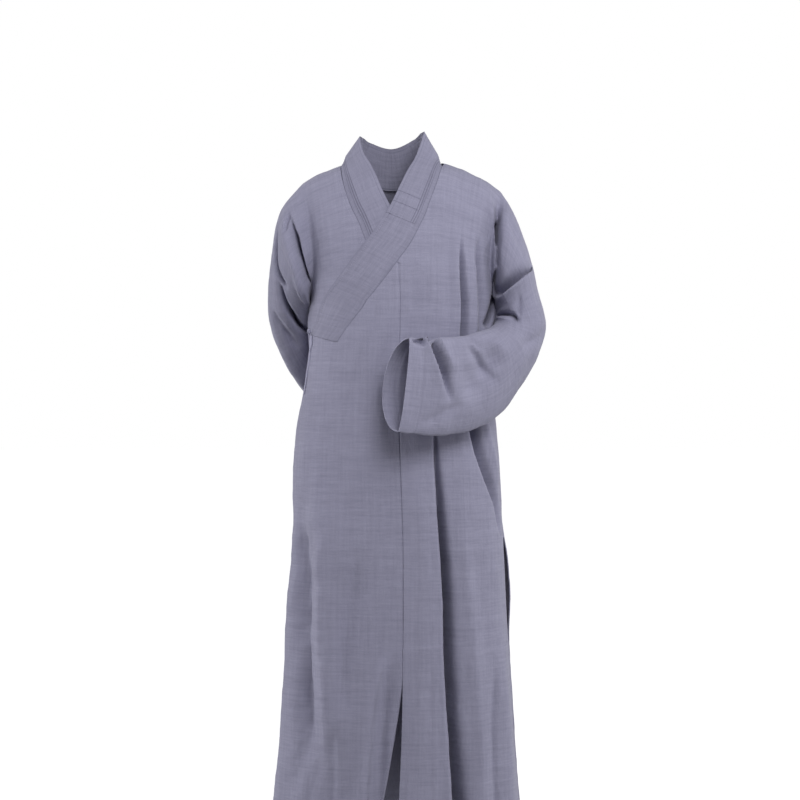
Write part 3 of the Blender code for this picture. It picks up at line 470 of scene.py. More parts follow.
# %% Folds of the body
BODY_FOLDS = (
    Fold("chest, left, deep", ((0.445, -0.14), (0.478, -0.23), (0.498, -0.29), (0.503, -0.36),
                               (0.503, -0.47)),
         0.0036, 0.0028, -0.060, 0.50, 0.05, 2.0, 0.05),
    Fold("chest, left, deep, beside", ((0.40, -0.10), (0.46, -0.24), (0.485, -0.45)),
         0.012, 0.014, 0.006, 0.45, 0.25),
    Fold("chest, left, between", ((0.55, -0.15), (0.60, -0.28), (0.61, -0.45)),
         0.010, 0.010, 0.006, 0.45, 0.25),
    Fold("chest, left, soft", ((0.61, -0.145), (0.653, -0.228), (0.70, -0.29), (0.70, -0.46)),
         0.007, 0.005, -0.034, 0.35, 0.15, 1.5, 0.10),
    Fold("chest, left, faint", ((0.36, -0.12), (0.38, -0.29), (0.38, -0.42)),
         0.010, 0.010, -0.003, 0.30, 0.30),
    Fold("underarm, left, drape", ((1.0, -0.22), (1.0, -0.50)), 0.036, 0.036, 0.019, 0.2, 0.45),
    Fold("underarm, left, behind", ((1.12, -0.30), (1.12, -0.46)), 0.024, 0.024, 0.010, 0.3, 0.6),
    Fold("underarm, right, drape", ((-1.0, -0.22), (-1.0, -0.42)), 0.030, 0.030, 0.011, 0.2, 0.5),
    Fold("skirt, left, deep", ((0.255, -0.47), (0.261, -0.633), (0.278, -0.731), (0.296, -0.83),
                               (0.312, -0.932), (0.312, -1.03), (0.322, -1.128),
                               (0.338, -1.225), (0.356, -1.40)),
         0.0046, 0.0026, -0.078, 0.45, 0.02, 2.6, 0.06),
    Fold("skirt, left, ridge", ((0.12, -0.50), (0.135, -0.80), (0.12, -1.10), (0.105, -1.40)),
         0.034, 0.024, 0.013, 0.25, 0.02),
    Fold("skirt, left, pleat", ((0.441, -0.55), (0.429, -0.809), (0.47, -0.97), (0.49, -1.40)),
         0.020, 0.024, 0.008, 0.35, 0.02),
    Fold("hip, left, diagonal", ((0.50, -0.44), (0.56, -0.57), (0.60, -0.612), (0.645, -0.643),
                                 (0.70, -0.674), (0.745, -0.705), (0.80, -0.78)),
         0.009, 0.006, -0.038, 0.15, 0.35, 1.0, 0.06),
    Fold("hip, left, beside diagonal", ((0.62, -0.50), (0.72, -0.60), (0.84, -0.68)),
         0.012, 0.012, 0.006, 0.30, 0.40),
    Fold("skirt, left, crease", ((0.223, -0.965), (0.217, -1.126), (0.207, -1.40)),
         0.005, 0.005, 0.002, 0.20, 0.02),
    Fold("skirt, left, edge crease", ((0.66, -0.975), (0.60, -1.13), (0.57, -1.40)),
         0.006, 0.012, -0.005, 0.30, 0.02),
    Fold("skirt, left, edge ridge", ((0.74, -0.95), (0.70, -1.40)), 0.03, 0.03, 0.008, 0.4, 0.02),
    Fold("skirt, right, side trough", ((-0.745, -0.66), (-0.715, -0.785), (-0.690, -0.835),
                                       (-0.660, -0.935), (-0.628, -1.034), (-0.588, -1.133),
                                       (-0.56, -1.21), (-0.53, -1.30)),
         0.024, 0.016, -0.020, 0.30, 0.30, 1.0, -0.30),
    Fold("skirt, right, side ridge", ((-0.86, -0.70), (-0.78, -1.40)),
         0.03, 0.03, 0.007, 0.3, 0.02),
    Fold("skirt, right, slanting", ((-0.20, -0.76), (-0.276, -0.851), (-0.312, -0.907),
                                    (-0.330, -0.967), (-0.348, -1.027), (-0.342, -1.14)),
         0.024, 0.018, -0.013, 0.35, 0.20),
    Fold("skirt, right, long ridge", ((-0.572, -0.60), (-0.537, -0.733), (-0.513, -0.834),
                                      (-0.490, -0.932), (-0.449, -1.03), (-0.442, -1.128),
                                      (-0.394, -1.26)),
         0.046, 0.024, 0.019, 0.30, 0.25),
    Fold("skirt, right, short crease", ((-0.394, -1.13), (-0.365, -1.40)),
         0.006, 0.008, -0.005, 0.2, 0.02),
    Fold("slit flap ridge", ((-0.055, -0.985), (-0.097, -1.034), (-0.129, -1.086),
                             (-0.147, -1.145), (-0.172, -1.40)),
         0.006, 0.014, 0.010, 0.12, 0.02),
    Fold("slit flap hollow", ((-0.06, -1.02), (-0.085, -1.12), (-0.12, -1.40)),
         0.010, 0.006, -0.009, 0.25, 0.02),
    Fold("back, left of middle", ((1.72, -0.40), (1.68, -0.90), (1.66, -1.40)),
         0.014, 0.028, -0.018, 0.4, 0.02),
    Fold("back, right of middle", ((2.28, -0.46), (2.32, -0.90), (2.36, -1.40)),
         0.026, 0.014, -0.018, 0.4, 0.02),
    Fold("back, middle ridge", ((2.00, -0.52), (2.02, -1.40)), 0.045, 0.045, 0.010, 0.4, 0.02),
    Fold("back, left flank", ((1.38, -0.30), (1.33, -0.80), (1.30, -1.40)),
         0.016, 0.028, -0.014, 0.3, 0.02),
    Fold("back, right flank", ((2.64, -0.36), (2.68, -0.85), (2.70, -1.40)),
         0.026, 0.016, -0.014, 0.3, 0.02),
    Fold("back, left shoulder", ((1.55, -0.10), (1.44, -0.34)), 0.010, 0.022, -0.010, 0.4, 0.4),
    Fold("back, right shoulder", ((2.45, -0.10), (2.56, -0.34)), 0.022, 0.010, -0.011, 0.4, 0.4),
    Fold("back, yoke", ((1.86, -0.13), (2.02, -0.19), (2.20, -0.14)),
         0.02, 0.02, -0.005, 0.3, 0.3),
)


def body_lines():
    """The folds' lines in metres, once a quarter's length is known at each height."""
    lines = []
    for fold in BODY_FOLDS:
        line = smooth_path(fold.path)
        line[:, 0] *= quarter_length(line[:, 1])
        lines.append((line, *fold[2:]))
    return lines


BODY_LINES = body_lines()


def body_push(around, height):
    """The folds' push at places on the body. Each place counts once for each turn it may be in."""
    turn = (np.asarray(around, float) + 2.0) % 4.0 - 2.0
    across = quarter_length(height)
    push = fold_push(BODY_LINES, turn * across, height)
    return push + fold_push(BODY_LINES, (turn + 4.0) * across, height)


def on_body(around, down, lift):
    """The worn cloth: the bare form with its folds, lifted by a layer's height."""
    points = body(around, down)
    push = body_push(over_the_shoulder(around, down)[0], points[..., 2])
    out = outward(body, around, down, BODY_STEP) * (push[..., 0] + lift)[..., None]
    slid = body(around + push[..., 1] / quarter_length(points[..., 2]), down)
    slid[..., 2] += push[..., 2]
    return slid + out


print("folds of the body:", len(BODY_FOLDS))

# %% [markdown]
# The two fronts cross, so the outer one is lifted a little off the form, and the under one sinks
# behind it below the collar's outer edge. The back's edge stands out beside the side slit.

# %% Layers of the body
OVERLAP_LIFT, LIFT_SPAN, LIFT_DOWN = 0.0065, 0.6, 0.45
UNDER_SINK, COVER_POINT, COVER_SLOPE, COVER_REACH = 0.007, (-0.009, -0.103), 1.353, 0.05
COVER_SIDE = 0.25
SLIT_FLARE, SLIT_FLARE_REACH, SLIT_FLARE_ABOVE, SLIT_FADE = 0.011, 0.12, 0.05, 0.12
SIDE_SLIT_OPENING, FRONT_SLIT_OPENING, FRONT_SLIT_CURVE = 0.012, 0.132, 1.15
FRONT_SLIT_STAYS_SHUT = 0.15
SIDE_CLOSES, SIDE_CLOSES_OVER, SIDE_STAYS_OPEN = -0.93, 0.12, 0.25
ARMHOLE = ((0.0, 0.80), (0.35, 0.80), (0.60, 0.81), (0.80, 0.85), (0.93, 0.92), (1.0, 1.0))


def outer_lift(around, down):
    over_left = ease((1.0 - np.asarray(around)) / LIFT_SPAN)
    return OVERLAP_LIFT * over_left * ease(np.asarray(down) / LIFT_DOWN)


def under_sink(around, down):
    bare = body(around, down)
    line = COVER_POINT[1] + (bare[..., 0] - COVER_POINT[0]) * COVER_SLOPE
    covered = ease((line - bare[..., 2]) / COVER_REACH)
    return UNDER_SINK * covered * ease((np.asarray(around) + 1.0) / COVER_SIDE)


def side_gap(height):
    """How far the side slit gapes, from 0 to 1: it opens at its top and nearly closes below."""
    closing = (1.0 - SIDE_STAYS_OPEN) * ease((SIDE_CLOSES - height) / SIDE_CLOSES_OVER)
    return ease((SIDE_SLIT_TOP - height) / SLIT_FADE) * (1.0 - closing)


def slit_flare(around, height):
    near_edge = 1.0 - np.abs(around - 1.0) / SLIT_FLARE_REACH
    return SLIT_FLARE * ease(near_edge) * side_gap(height - SLIT_FLARE_ABOVE)


def outer_front(around, down):
    return on_body(around, down, outer_lift(around, down))


def under_front(around, down):
    return on_body(around, down, -under_sink(around, down))


def back_form(around, down):
    return on_body(around, down, slit_flare(np.asarray(around), heights_of(down)))


def armhole_line(down):
    """How far round from the centre front or back the armhole is, at each measure down."""
    return curve(down, *zip(*ARMHOLE))


print("lift of the overlap:", float(outer_lift(0.0, 1.0)))

# %% [markdown]
# ## The collar's line
#
# The band is sewn to the fronts and the back along one long line, from its outer end at the
# wearer's right side, up round the neck and down to its hidden end. The stations hold both of
# its edges. The panels take their own edge from the same line, so that the seam closes.

# %% Stations of the collar
# Places are (x, height). A depth is given where the band's edge stands free of the body.
Station = namedtuple("Station", "name seam behind edge depth")
COLLAR_STATIONS = (
    Station("outer end", (-0.114, -0.374), False, (-0.166, -0.357), None),
    Station("outer end fold", (-0.094, -0.345), False, (-0.155, -0.325), None),
    Station("side", (-0.077, -0.322), False, (-0.145, -0.293), None),
    Station("side chest", (-0.061, -0.301), False, (-0.128, -0.266), None),
    Station("right chest", (-0.030, -0.259), False, (-0.097, -0.223), None),
    Station("centre seam", (0.003, -0.215), False, (-0.065, -0.180), None),
    Station("crossing", (0.034, -0.171), False, (-0.035, -0.140), None),
    Station("guard low end", (0.048, -0.143), False, (-0.018, -0.114), None),
    Station("guard middle end", (0.060, -0.118), False, (-0.005, -0.090), None),
    Station("guard top end", (0.067, -0.098), False, (0.005, -0.070), None),
    Station("left collar bone", (0.085, -0.048), False, (0.023, -0.027), -0.056),
    Station("left neck front", (0.095, -0.014), False, (0.0425, 0.0115), -0.034),
    Station("left neck", (0.099, -0.0035), False, (0.056, 0.061), 0.002),
    Station("left nape", (0.076, -0.018), True, (0.042, 0.055), 0.040),
    Station("nape", (-0.004, -0.047), True, (-0.007, 0.036), 0.058),
    Station("right nape", (-0.087, -0.020), True, (-0.056, 0.048), 0.040),
    Station("right neck", (-0.112, -0.0075), False, (-0.071, 0.051), 0.002),
    Station("right neck front", (-0.112, -0.022), False, (-0.064, 0.016), -0.032),
    Station("right collar bone", (-0.106, -0.052), False, (-0.049, -0.012), -0.055),
    Station("right guard", (-0.092, -0.095), False, (-0.030, -0.058), None),
    Station("under crossing", (-0.075, -0.131), False, (-0.009, -0.103), None),
    Station("guard under end", (-0.058, -0.175), False, (0.011, -0.146), None),
    Station("under chest", (-0.041, -0.214), False, (0.033, -0.189), None),
    Station("under end", (-0.019, -0.258), False, (0.055, -0.235), None),
)
OUTER_STATIONS, OUTER_FADE = 12, 0.05
BAND_RISE = 0.0005
CROSSING_STEPS = 4000


def collar_curves():
    """The stations: their measure along the band, places of both edges, and edge in the air."""
    seam_places, edge_places, edges, lies, middles = [], [], [], [], []
    for station in COLLAR_STATIONS:
        around, down = place(*station.seam)
        seam_places.append((around, -down if station.behind else down))
        edge_places.append(place(*station.edge))
        depth = body(*edge_places[-1])[1] if station.depth is None else station.depth
        edges.append((station.edge[0], depth, station.edge[1]))
        lies.append(1.0 if station.depth is None else 0.0)
        middles.append((body(*seam_places[-1]) + edges[-1]) / 2)
    return run_along(middles), *(np.array(v) for v in (seam_places, edge_places, edges, lies))


COLLAR = collar_curves()


def station_at(name):
    """How far along the band a station is."""
    return COLLAR[0][[station.name for station in COLLAR_STATIONS].index(name)]


def shoulder_crossing(first, last):
    """How far along the band its seam crosses the shoulder line, between two stations."""
    fine = np.linspace(station_at(first), station_at(last), CROSSING_STEPS)
    down = curve(fine, COLLAR[0], COLLAR[1])[:, 1]
    return fine[np.argmin(np.abs(down))]


LEFT_CROSSING = shoulder_crossing("left neck", "left nape")
RIGHT_CROSSING = shoulder_crossing("right nape", "right neck")
print("band:", round(COLLAR[0][-1], 3), "m")

# %% [markdown]
# The rows of the cloth's mesh are about 5 mm apart, which is fine enough for folds, and closer
# beside seams, where the cloth dips into the stitching.

# %% Rows and columns
MESH_STEP, TOUCH = 0.0052, 1e-6
UPPER_ROW_COUNT, UPPER_ROW_CROWDING = 62, 1.25
SEAM_STEPS = (0.0, 0.0012, 0.0028)
COLLAR_MARKS = (0.0, station_at("centre seam"), LEFT_CROSSING, RIGHT_CROSSING, COLLAR[0][-1])


def spaced(start, end, step=MESH_STEP):
    """Even stops from start to end, about a step apart."""
    return np.linspace(start, end, max(2, round(abs(end - start) / step) + 1))


def collar_stops():
    stops = [spaced(start, end) for start, end in zip(COLLAR_MARKS, COLLAR_MARKS[1:])]
    extra = COLLAR_MARKS[1] - np.array(SEAM_STEPS[1:])
    return np.unique(np.concatenate([*stops, extra]).round(9))


STOPS = collar_stops()


def seam_of_collar(start, end):
    """The collar's seam between two measures, as around and down of each of its points."""
    chosen = STOPS[(STOPS > start - TOUCH) & (STOPS < end + TOUCH)]
    return curve(chosen, COLLAR[0], COLLAR[1]).T


UPPER_ROWS = np.linspace(0.0, 1.0, UPPER_ROW_COUNT) ** UPPER_ROW_CROWDING
LOWER_ROWS = down_of(spaced(UNDERARM, HEM))
BODY_ROWS = np.concatenate((UPPER_ROWS, LOWER_ROWS[1:]))
print("stops of the band:", len(STOPS), "rows of the body:", len(BODY_ROWS))

# %% [markdown]
# ## Sewing the panels together
#
# The panels are separate pieces of cloth, but the worn robe is one surface. So all their points
# go into one list, and sewn edges share theirs. The join at the armhole can then be relaxed like
# real cloth, and light passes over the seams without a step.


# %% The sewing table
def closed_round(grid):
    """A tube's grid of numbers with its first column once more at the end."""
    return np.concatenate((grid, grid[:, :1]), axis=1)


def corners_of(grid):
    """The four corners of each of a grid's faces."""
    return grid[:-1, :-1], grid[1:, :-1], grid[1:, 1:], grid[:-1, 1:]


class Sewing:
    """The points of all panels, with those of sewn edges shared."""

    def __init__(self):
        self.chunks, self.panels, self.pairs, self.count = [], {}, [], 0

    def lay(self, name, points, weave, tube=False):
        """Adds a panel: a grid of points, and where each lies on the flat cloth in metres."""
        ids = self.count + np.arange(points[..., 0].size).reshape(points.shape[:2])
        self.count += ids.size
        self.chunks.append(points.reshape(-1, 3))
        self.panels[name] = {"ids": ids, "weave": weave, "tube": tube}
        return ids

    def sew(self, first, second):
        self.pairs.extend(zip(first.ravel().tolist(), second.ravel().tolist()))

    def join(self):
        """Gives both points of each sewn pair one number and one place."""
        owner = np.arange(self.count)
        for first, second in self.pairs:
            keep, drop = sorted((owner[first], owner[second]))
            owner[owner == drop] = keep
        points = np.concatenate(self.chunks)
        total, number = np.zeros_like(points), np.zeros(self.count)
        np.add.at(total, owner, points)
        np.add.at(number, owner, 1.0)
        self.points = total / np.maximum(number, 1.0)[:, None]
        for panel in self.panels.values():
            panel["ids"] = owner[panel["ids"]]

    def wrapped(self, panel):
        return closed_round(panel["ids"]) if panel["tube"] else panel["ids"]

    def relax(self, weight, rounds):
        """Lets the cloth settle where weight is above 0: each point moves to its neighbours'."""
        ends = []
        for panel in self.panels.values():
            ids = self.wrapped(panel)
            ends.append(np.stack((ids[:, :-1].ravel(), ids[:, 1:].ravel()), axis=1))
            ends.append(np.stack((ids[:-1].ravel(), ids[1:].ravel()), axis=1))
        ends = np.unique(np.sort(np.concatenate(ends), axis=1), axis=0)
        ends = ends[(weight[ends] > 0).any(axis=1)]
        number = np.zeros(self.count)
        np.add.at(number, ends.ravel(), 1.0)
        for _ in range(rounds):
            total = np.zeros_like(self.points)
            np.add.at(total, ends[:, 0], self.points[ends[:, 1]])
            np.add.at(total, ends[:, 1], self.points[ends[:, 0]])
            middle = total / np.maximum(number, 1.0)[:, None]
            self.points += (middle - self.points) * weight[:, None] * (number > 0)[:, None]

    def find_normals(self):
        self.normals = np.zeros_like(self.points)
        for panel in self.panels.values():
            corners = corners_of(self.wrapped(panel))
            a, b, c, d = (self.points[corner] for corner in corners)
            face = np.cross(c - a, d - b)
            for corner in corners:
                np.add.at(self.normals, corner.ravel(), face.reshape(-1, 3))
        self.normals = unit(self.normals)


robe = Sewing()
YOKE_LENGTH = 0.30


def weave_of(around, down):
    """Where a place on the body lies on the flat cloth: across the weave and along it."""
    height = np.where(down < 1.0, UNDERARM + (1.0 - down) * YOKE_LENGTH, heights_of(down))
    return np.stack(np.broadcast_arrays(around * quarter_length(height), height), axis=-1)


def lay_panel(name, form, around, down):
    around, down = np.broadcast_arrays(around, down)
    return robe.lay(name, form(around, down), weave_of(around, down))


print("panels laid so far:", len(robe.panels))

# %% [markdown]
# ## The fronts
#
# The left front hangs from the left shoulder and the collar down to the hem. It could be cut out
# of a whole tube, but then its edges would be ragged. So each row of it runs from its own edge at
# the collar or the centre seam to its edge at the armhole or the side.

# %% The left front
CENTRE_SEAM = ((-0.20, -0.014), (-0.56, 0.012), (-0.98, 0.026), (HEM, 0.000))
FREE_EDGE = ((-0.30, -0.79), (-0.357, -0.81), (-0.42, -0.80), (-0.50, -0.83), (-0.58, -0.97),
             (-0.80, -1.05), (HEM, -1.06))
UNDER_EDGE = ((-0.10, -0.05), (-0.258, -0.09), (-0.60, -0.13), (-0.95, -0.24), (HEM, -0.27))
LEFT_COLUMNS, UNDER_COLUMNS, OVERLAP_END_COLUMNS = 92, 44, 14
LEFT_WIDTH, ROW_CLEARANCE = 0.30, 0.004
OVERLAP_SPREAD, BAND_END_GAP = 0.15, 0.0006


def panel_rows(seam_down):
    """Rows of a front panel: those of the collar's seam beside it, and the regular ones below."""
    beside = np.sort(seam_down)
    below = BODY_ROWS[BODY_ROWS > beside[-1] + ROW_CLEARANCE]
    return np.concatenate((beside, below))


def front_panel_edges(seam_around, seam_down, low_edge):
    """Rows of a front panel, with its edge at the collar and below and its edge at the side."""
    down = panel_rows(seam_down)
    order = np.argsort(seam_down)
    beside = np.interp(down, seam_down[order], seam_around[order])
    inner = np.where(down <= seam_down.max(), beside, low_edge(heights_of(down)))
    outer = np.where(down < 1.0, armhole_line(down), 1.0)
    return down, inner, outer


def centre_seam(height):
    return curve(height, *zip(*CENTRE_SEAM))


def seamed_columns(count, width):
    """Shares across a panel, closer together beside the seam at its start."""
    steps = np.array(SEAM_STEPS) / width
    return np.concatenate((steps[:-1], np.linspace(steps[-1], 1.0, count)))


def lay_front_left():
    seam_around, seam_down = seam_of_collar(COLLAR_MARKS[1], LEFT_CROSSING)
    down, inner, outer = front_panel_edges(seam_around, seam_down, centre_seam)
    height = heights_of(down)
    outer = outer - SIDE_SLIT_OPENING * side_gap(height)
    columns = seamed_columns(LEFT_COLUMNS, LEFT_WIDTH)
    around = inner[:, None] + (outer - inner)[:, None] * columns
    return down, lay_panel("front_left", outer_front, around, down[:, None])


left_down, left_ids = lay_front_left()
print("left front:", left_ids.shape)

# %% [markdown]
# The overlap is the piece that crosses to the wearer's right side. It is sewn to the left front
# down the centre seam, and below that the two part in a slit. Its top edge is slanted, because
# the collar band crosses it, and its other edge hangs free. Its rows start along the slant and
# become level on the way down, which keeps the mesh even.


# %% The overlap
def slit_edge(height):
    """The overlap's edge along the centre seam and, below it, the front slit, which opens."""
    below = np.clip((height - FRONT_SLIT_TOP) / (HEM - FRONT_SLIT_TOP), 0.0, 1.0)
    parted = np.clip(below - FRONT_SLIT_STAYS_SHUT, 0.0, 1.0) / (1.0 - FRONT_SLIT_STAYS_SHUT)
    return centre_seam(height) - FRONT_SLIT_OPENING * parted ** FRONT_SLIT_CURVE


def lay_front_overlap():
    seam_around, seam_down = seam_of_collar(0.0, COLLAR_MARKS[1])
    corner_around, corner_down = place(*COLLAR_STATIONS[0].edge)
    end_steps = np.linspace(0.0, 1.0, OVERLAP_END_COLUMNS)[:-1]
    around_top = np.concatenate((
        corner_around + (seam_around[0] - corner_around) * end_steps, seam_around))
    down_top = np.concatenate((
        corner_down + (seam_down[0] - corner_down) * end_steps + BAND_END_GAP, seam_down))
    down_top[len(end_steps)] += BAND_END_GAP
    rows = left_down[left_down > down_top[-1] - 1e-9]
    steps = ((rows - rows[0]) / (rows[-1] - rows[0]))[:, None]
    down = down_top + (2.0 - down_top) * steps
    height = heights_of(down)
    left = curve(height, *zip(*FREE_EDGE))
    right = slit_edge(height)
    share = (around_top - left[0]) / (right[0] - left[0])
    share = (share - share[0]) / (share[-1] - share[0])
    blend = ease(steps / OVERLAP_SPREAD)
    around = around_top * (1.0 - blend) + (left + (right - left) * share) * blend
    return down, lay_panel("front_overlap", outer_front, around, down)


overlap_down, overlap_ids = lay_front_overlap()
print("overlap:", overlap_ids.shape)

# %% [markdown]
# The right front lies under the overlap, so most of it is hidden, but it shows beside the neck
# and where the overlap ends. It is made like the left front, mirrored. The back is one wide
# piece: its top edge dips under the collar, and its columns meet those of both fronts one for
# one, so that the shoulder seams can be sewn.


# %% The under front
def lay_front_under():
    seam_around, seam_down = seam_of_collar(RIGHT_CROSSING, COLLAR_MARKS[-1])

    def hidden_edge(height):
        return -curve(height, *zip(*UNDER_EDGE))

    down, inner, outer = front_panel_edges(-seam_around, seam_down, hidden_edge)
    columns = np.linspace(1.0, 0.0, UNDER_COLUMNS)
    around = -(inner[:, None] + (outer - inner)[:, None] * columns)
    return down, lay_panel("front_under", under_front, around, down[:, None])


under_down, under_ids = lay_front_under()
print("under front:", under_ids.shape)


# %% The back
def lay_back():
    neck_around, neck_down = seam_of_collar(LEFT_CROSSING, RIGHT_CROSSING)
    neck_around, neck_dip = 2.0 - neck_around, np.maximum(-neck_down, 0.0)
    side = 2.0 - float(armhole_line(0.0))
    columns = np.concatenate((
        side + (neck_around[0] - side) * (1.0 - seamed_columns(LEFT_COLUMNS, LEFT_WIDTH)[::-1]),
        neck_around[1:-1],
        neck_around[-1] + (4.0 - side - neck_around[-1]) * np.linspace(0.0, 1.0, UNDER_COLUMNS),
    ))
    dip = np.interp(columns, neck_around, neck_dip, left=0.0, right=0.0)
    share = (columns - 2.0) / (2.0 - side)
    half = np.where(BODY_ROWS < 1.0, armhole_line(BODY_ROWS), 1.0)
    around = 2.0 + half[:, None] * share
    rows = BODY_ROWS[:, None]
    down = np.where(rows < 1.0, dip + (1.0 - dip) * rows, rows)
    return lay_panel("back", back_form, around, down)


back_ids = lay_back()
print("back:", back_ids.shape)

# %% [markdown]
# The seams: both shoulders, the side seams down to the slit of the left side, and the centre
# front seam down to the front slit.


# %% Sew the body
def sew_body():
    robe.sew(left_ids[0], back_ids[0, :LEFT_COLUMNS + 2][::-1])
    robe.sew(under_ids[0], back_ids[0, -UNDER_COLUMNS:][::-1])
    sewn_rows = np.sum(heights_of(BODY_ROWS[BODY_ROWS >= 1.0]) > SIDE_SLIT_TOP)
    start = np.searchsorted(BODY_ROWS, 1.0)
    left_start, under_start = (np.searchsorted(d, 1.0) for d in (left_down, under_down))
    robe.sew(left_ids[left_start:left_start + sewn_rows, -1],
             back_ids[start:start + sewn_rows, 0])
    robe.sew(under_ids[under_start:, 0], back_ids[start:, -1])
    top = np.searchsorted(left_down, overlap_down[0, -1] - 1e-9)
    centre_rows = np.sum(heights_of(left_down[top:]) > FRONT_SLIT_TOP)
    robe.sew(left_ids[top:top + centre_rows, 0], overlap_ids[:centre_rows, -1])
    return start, left_start, under_start


back_start, left_start, under_start = sew_body()
print("sewn points:", len(robe.pairs))

# %% [markdown]
# ## The sleeves
#
# The wearer's left forearm is raised across the body, and the right one is held behind the back.
# Each sleeve is a wide tube. Its rings follow the outside of the arm and the crook of the elbow,
# and its first ring is the armhole's own edge.

# %% Rings of the sleeves
Ring = namedtuple("Ring", "outer inner facing front back hang")
LEFT_RINGS = (
    Ring((0.238, 0.006, -0.093), (0.2035, -0.003, -0.300), 2, 0.082, 0.085, 0.0),
    Ring((0.272, 0.005, -0.180), (0.206, -0.016, -0.311), 8, 0.080, 0.078, 0.0),
    Ring((0.292, 0.000, -0.272), (0.207, -0.036, -0.321), 12, 0.075, 0.070, 0.0),
    Ring((0.304, -0.012, -0.340), (0.206, -0.058, -0.330), 20, 0.064, 0.050, 0.0),
    Ring((0.283, -0.037, -0.405), (0.202, -0.087, -0.338), 30, 0.054, 0.037, 0.1),
    Ring((0.249, -0.075, -0.466), (0.191, -0.117, -0.346), 36, 0.045, 0.031, 0.2),
    Ring((0.198, -0.124, -0.528), (0.169, -0.143, -0.354), 40, 0.038, 0.026, 0.3),
    Ring((0.149, -0.160, -0.551), (0.145, -0.166, -0.361), 41, 0.033, 0.027, 0.3),
    Ring((0.100, -0.192, -0.560), (0.110, -0.192, -0.367), 41, 0.026, 0.036, 0.2),
    Ring((0.052, -0.221, -0.559), (0.067, -0.217, -0.371), 41, 0.016, 0.050, 0.1),
    Ring((0.0055, -0.245, -0.553), (0.027, -0.238, -0.369), 41, 0.008, 0.062, 0.0),
)
RIGHT_RINGS = (
    Ring((-0.239, 0.008, -0.103), (-0.1745, 0.004, -0.298), 0, 0.080, 0.085, 0.0),
    Ring((-0.256, 0.012, -0.185), (-0.1750, 0.018, -0.306), 0, 0.073, 0.080, 0.0),
    Ring((-0.265, 0.022, -0.262), (-0.1745, 0.040, -0.314), 5, 0.064, 0.073, 0.0),
    Ring((-0.263, 0.040, -0.327), (-0.174, 0.064, -0.322), 12, 0.055, 0.064, 0.0),
    Ring((-0.243, 0.066, -0.389), (-0.170, 0.089, -0.330), 20, 0.045, 0.055, 0.1),
    Ring((-0.213, 0.098, -0.446), (-0.160, 0.113, -0.339), 27, 0.037, 0.046, 0.2),
    Ring((-0.172, 0.131, -0.498), (-0.142, 0.136, -0.348), 31, 0.030, 0.040, 0.3),
    Ring((-0.126, 0.158, -0.530), (-0.112, 0.157, -0.356), 28, 0.027, 0.038, 0.3),
    Ring((-0.070, 0.178, -0.545), (-0.063, 0.175, -0.362), 20, 0.026, 0.038, 0.2),
    Ring((-0.012, 0.192, -0.552), (-0.006, 0.189, -0.366), 12, 0.030, 0.036, 0.1),
)
FIRST_RING_GAP = 0.05


def sleeve_ring(ring, turn):
    """A ring's points: turn 0 is its outer line, 0.25 the front and 0.5 its inner line."""
    outer, inner = np.array(ring.outer), np.array(ring.inner)
    middle, reach = (outer + inner) / 2, (outer - inner) / 2
    facing = math.radians(ring.facing)
    front = np.array((math.sin(facing), -math.cos(facing), 0.0))
    up = np.cos(2 * math.pi * turn)[..., None]
    out = np.sin(2 * math.pi * turn)[..., None]
    width = np.where(out > 0, ring.front, ring.back)
    return middle + reach * up + front * width * out * (1.0 - ring.hang * up)


print("rings:", len(LEFT_RINGS), len(RIGHT_RINGS))

# %% [markdown]
# A bent sleeve folds where it is short of room, in the crook and at the elbow, and a wide cuff
# folds where the wrist lifts it. Both could be left to a smoother tube, but those folds are what
# makes it read as cloth. Each path's points are (turn, along): along is 0 at the armhole and 1 at
# the cuff.

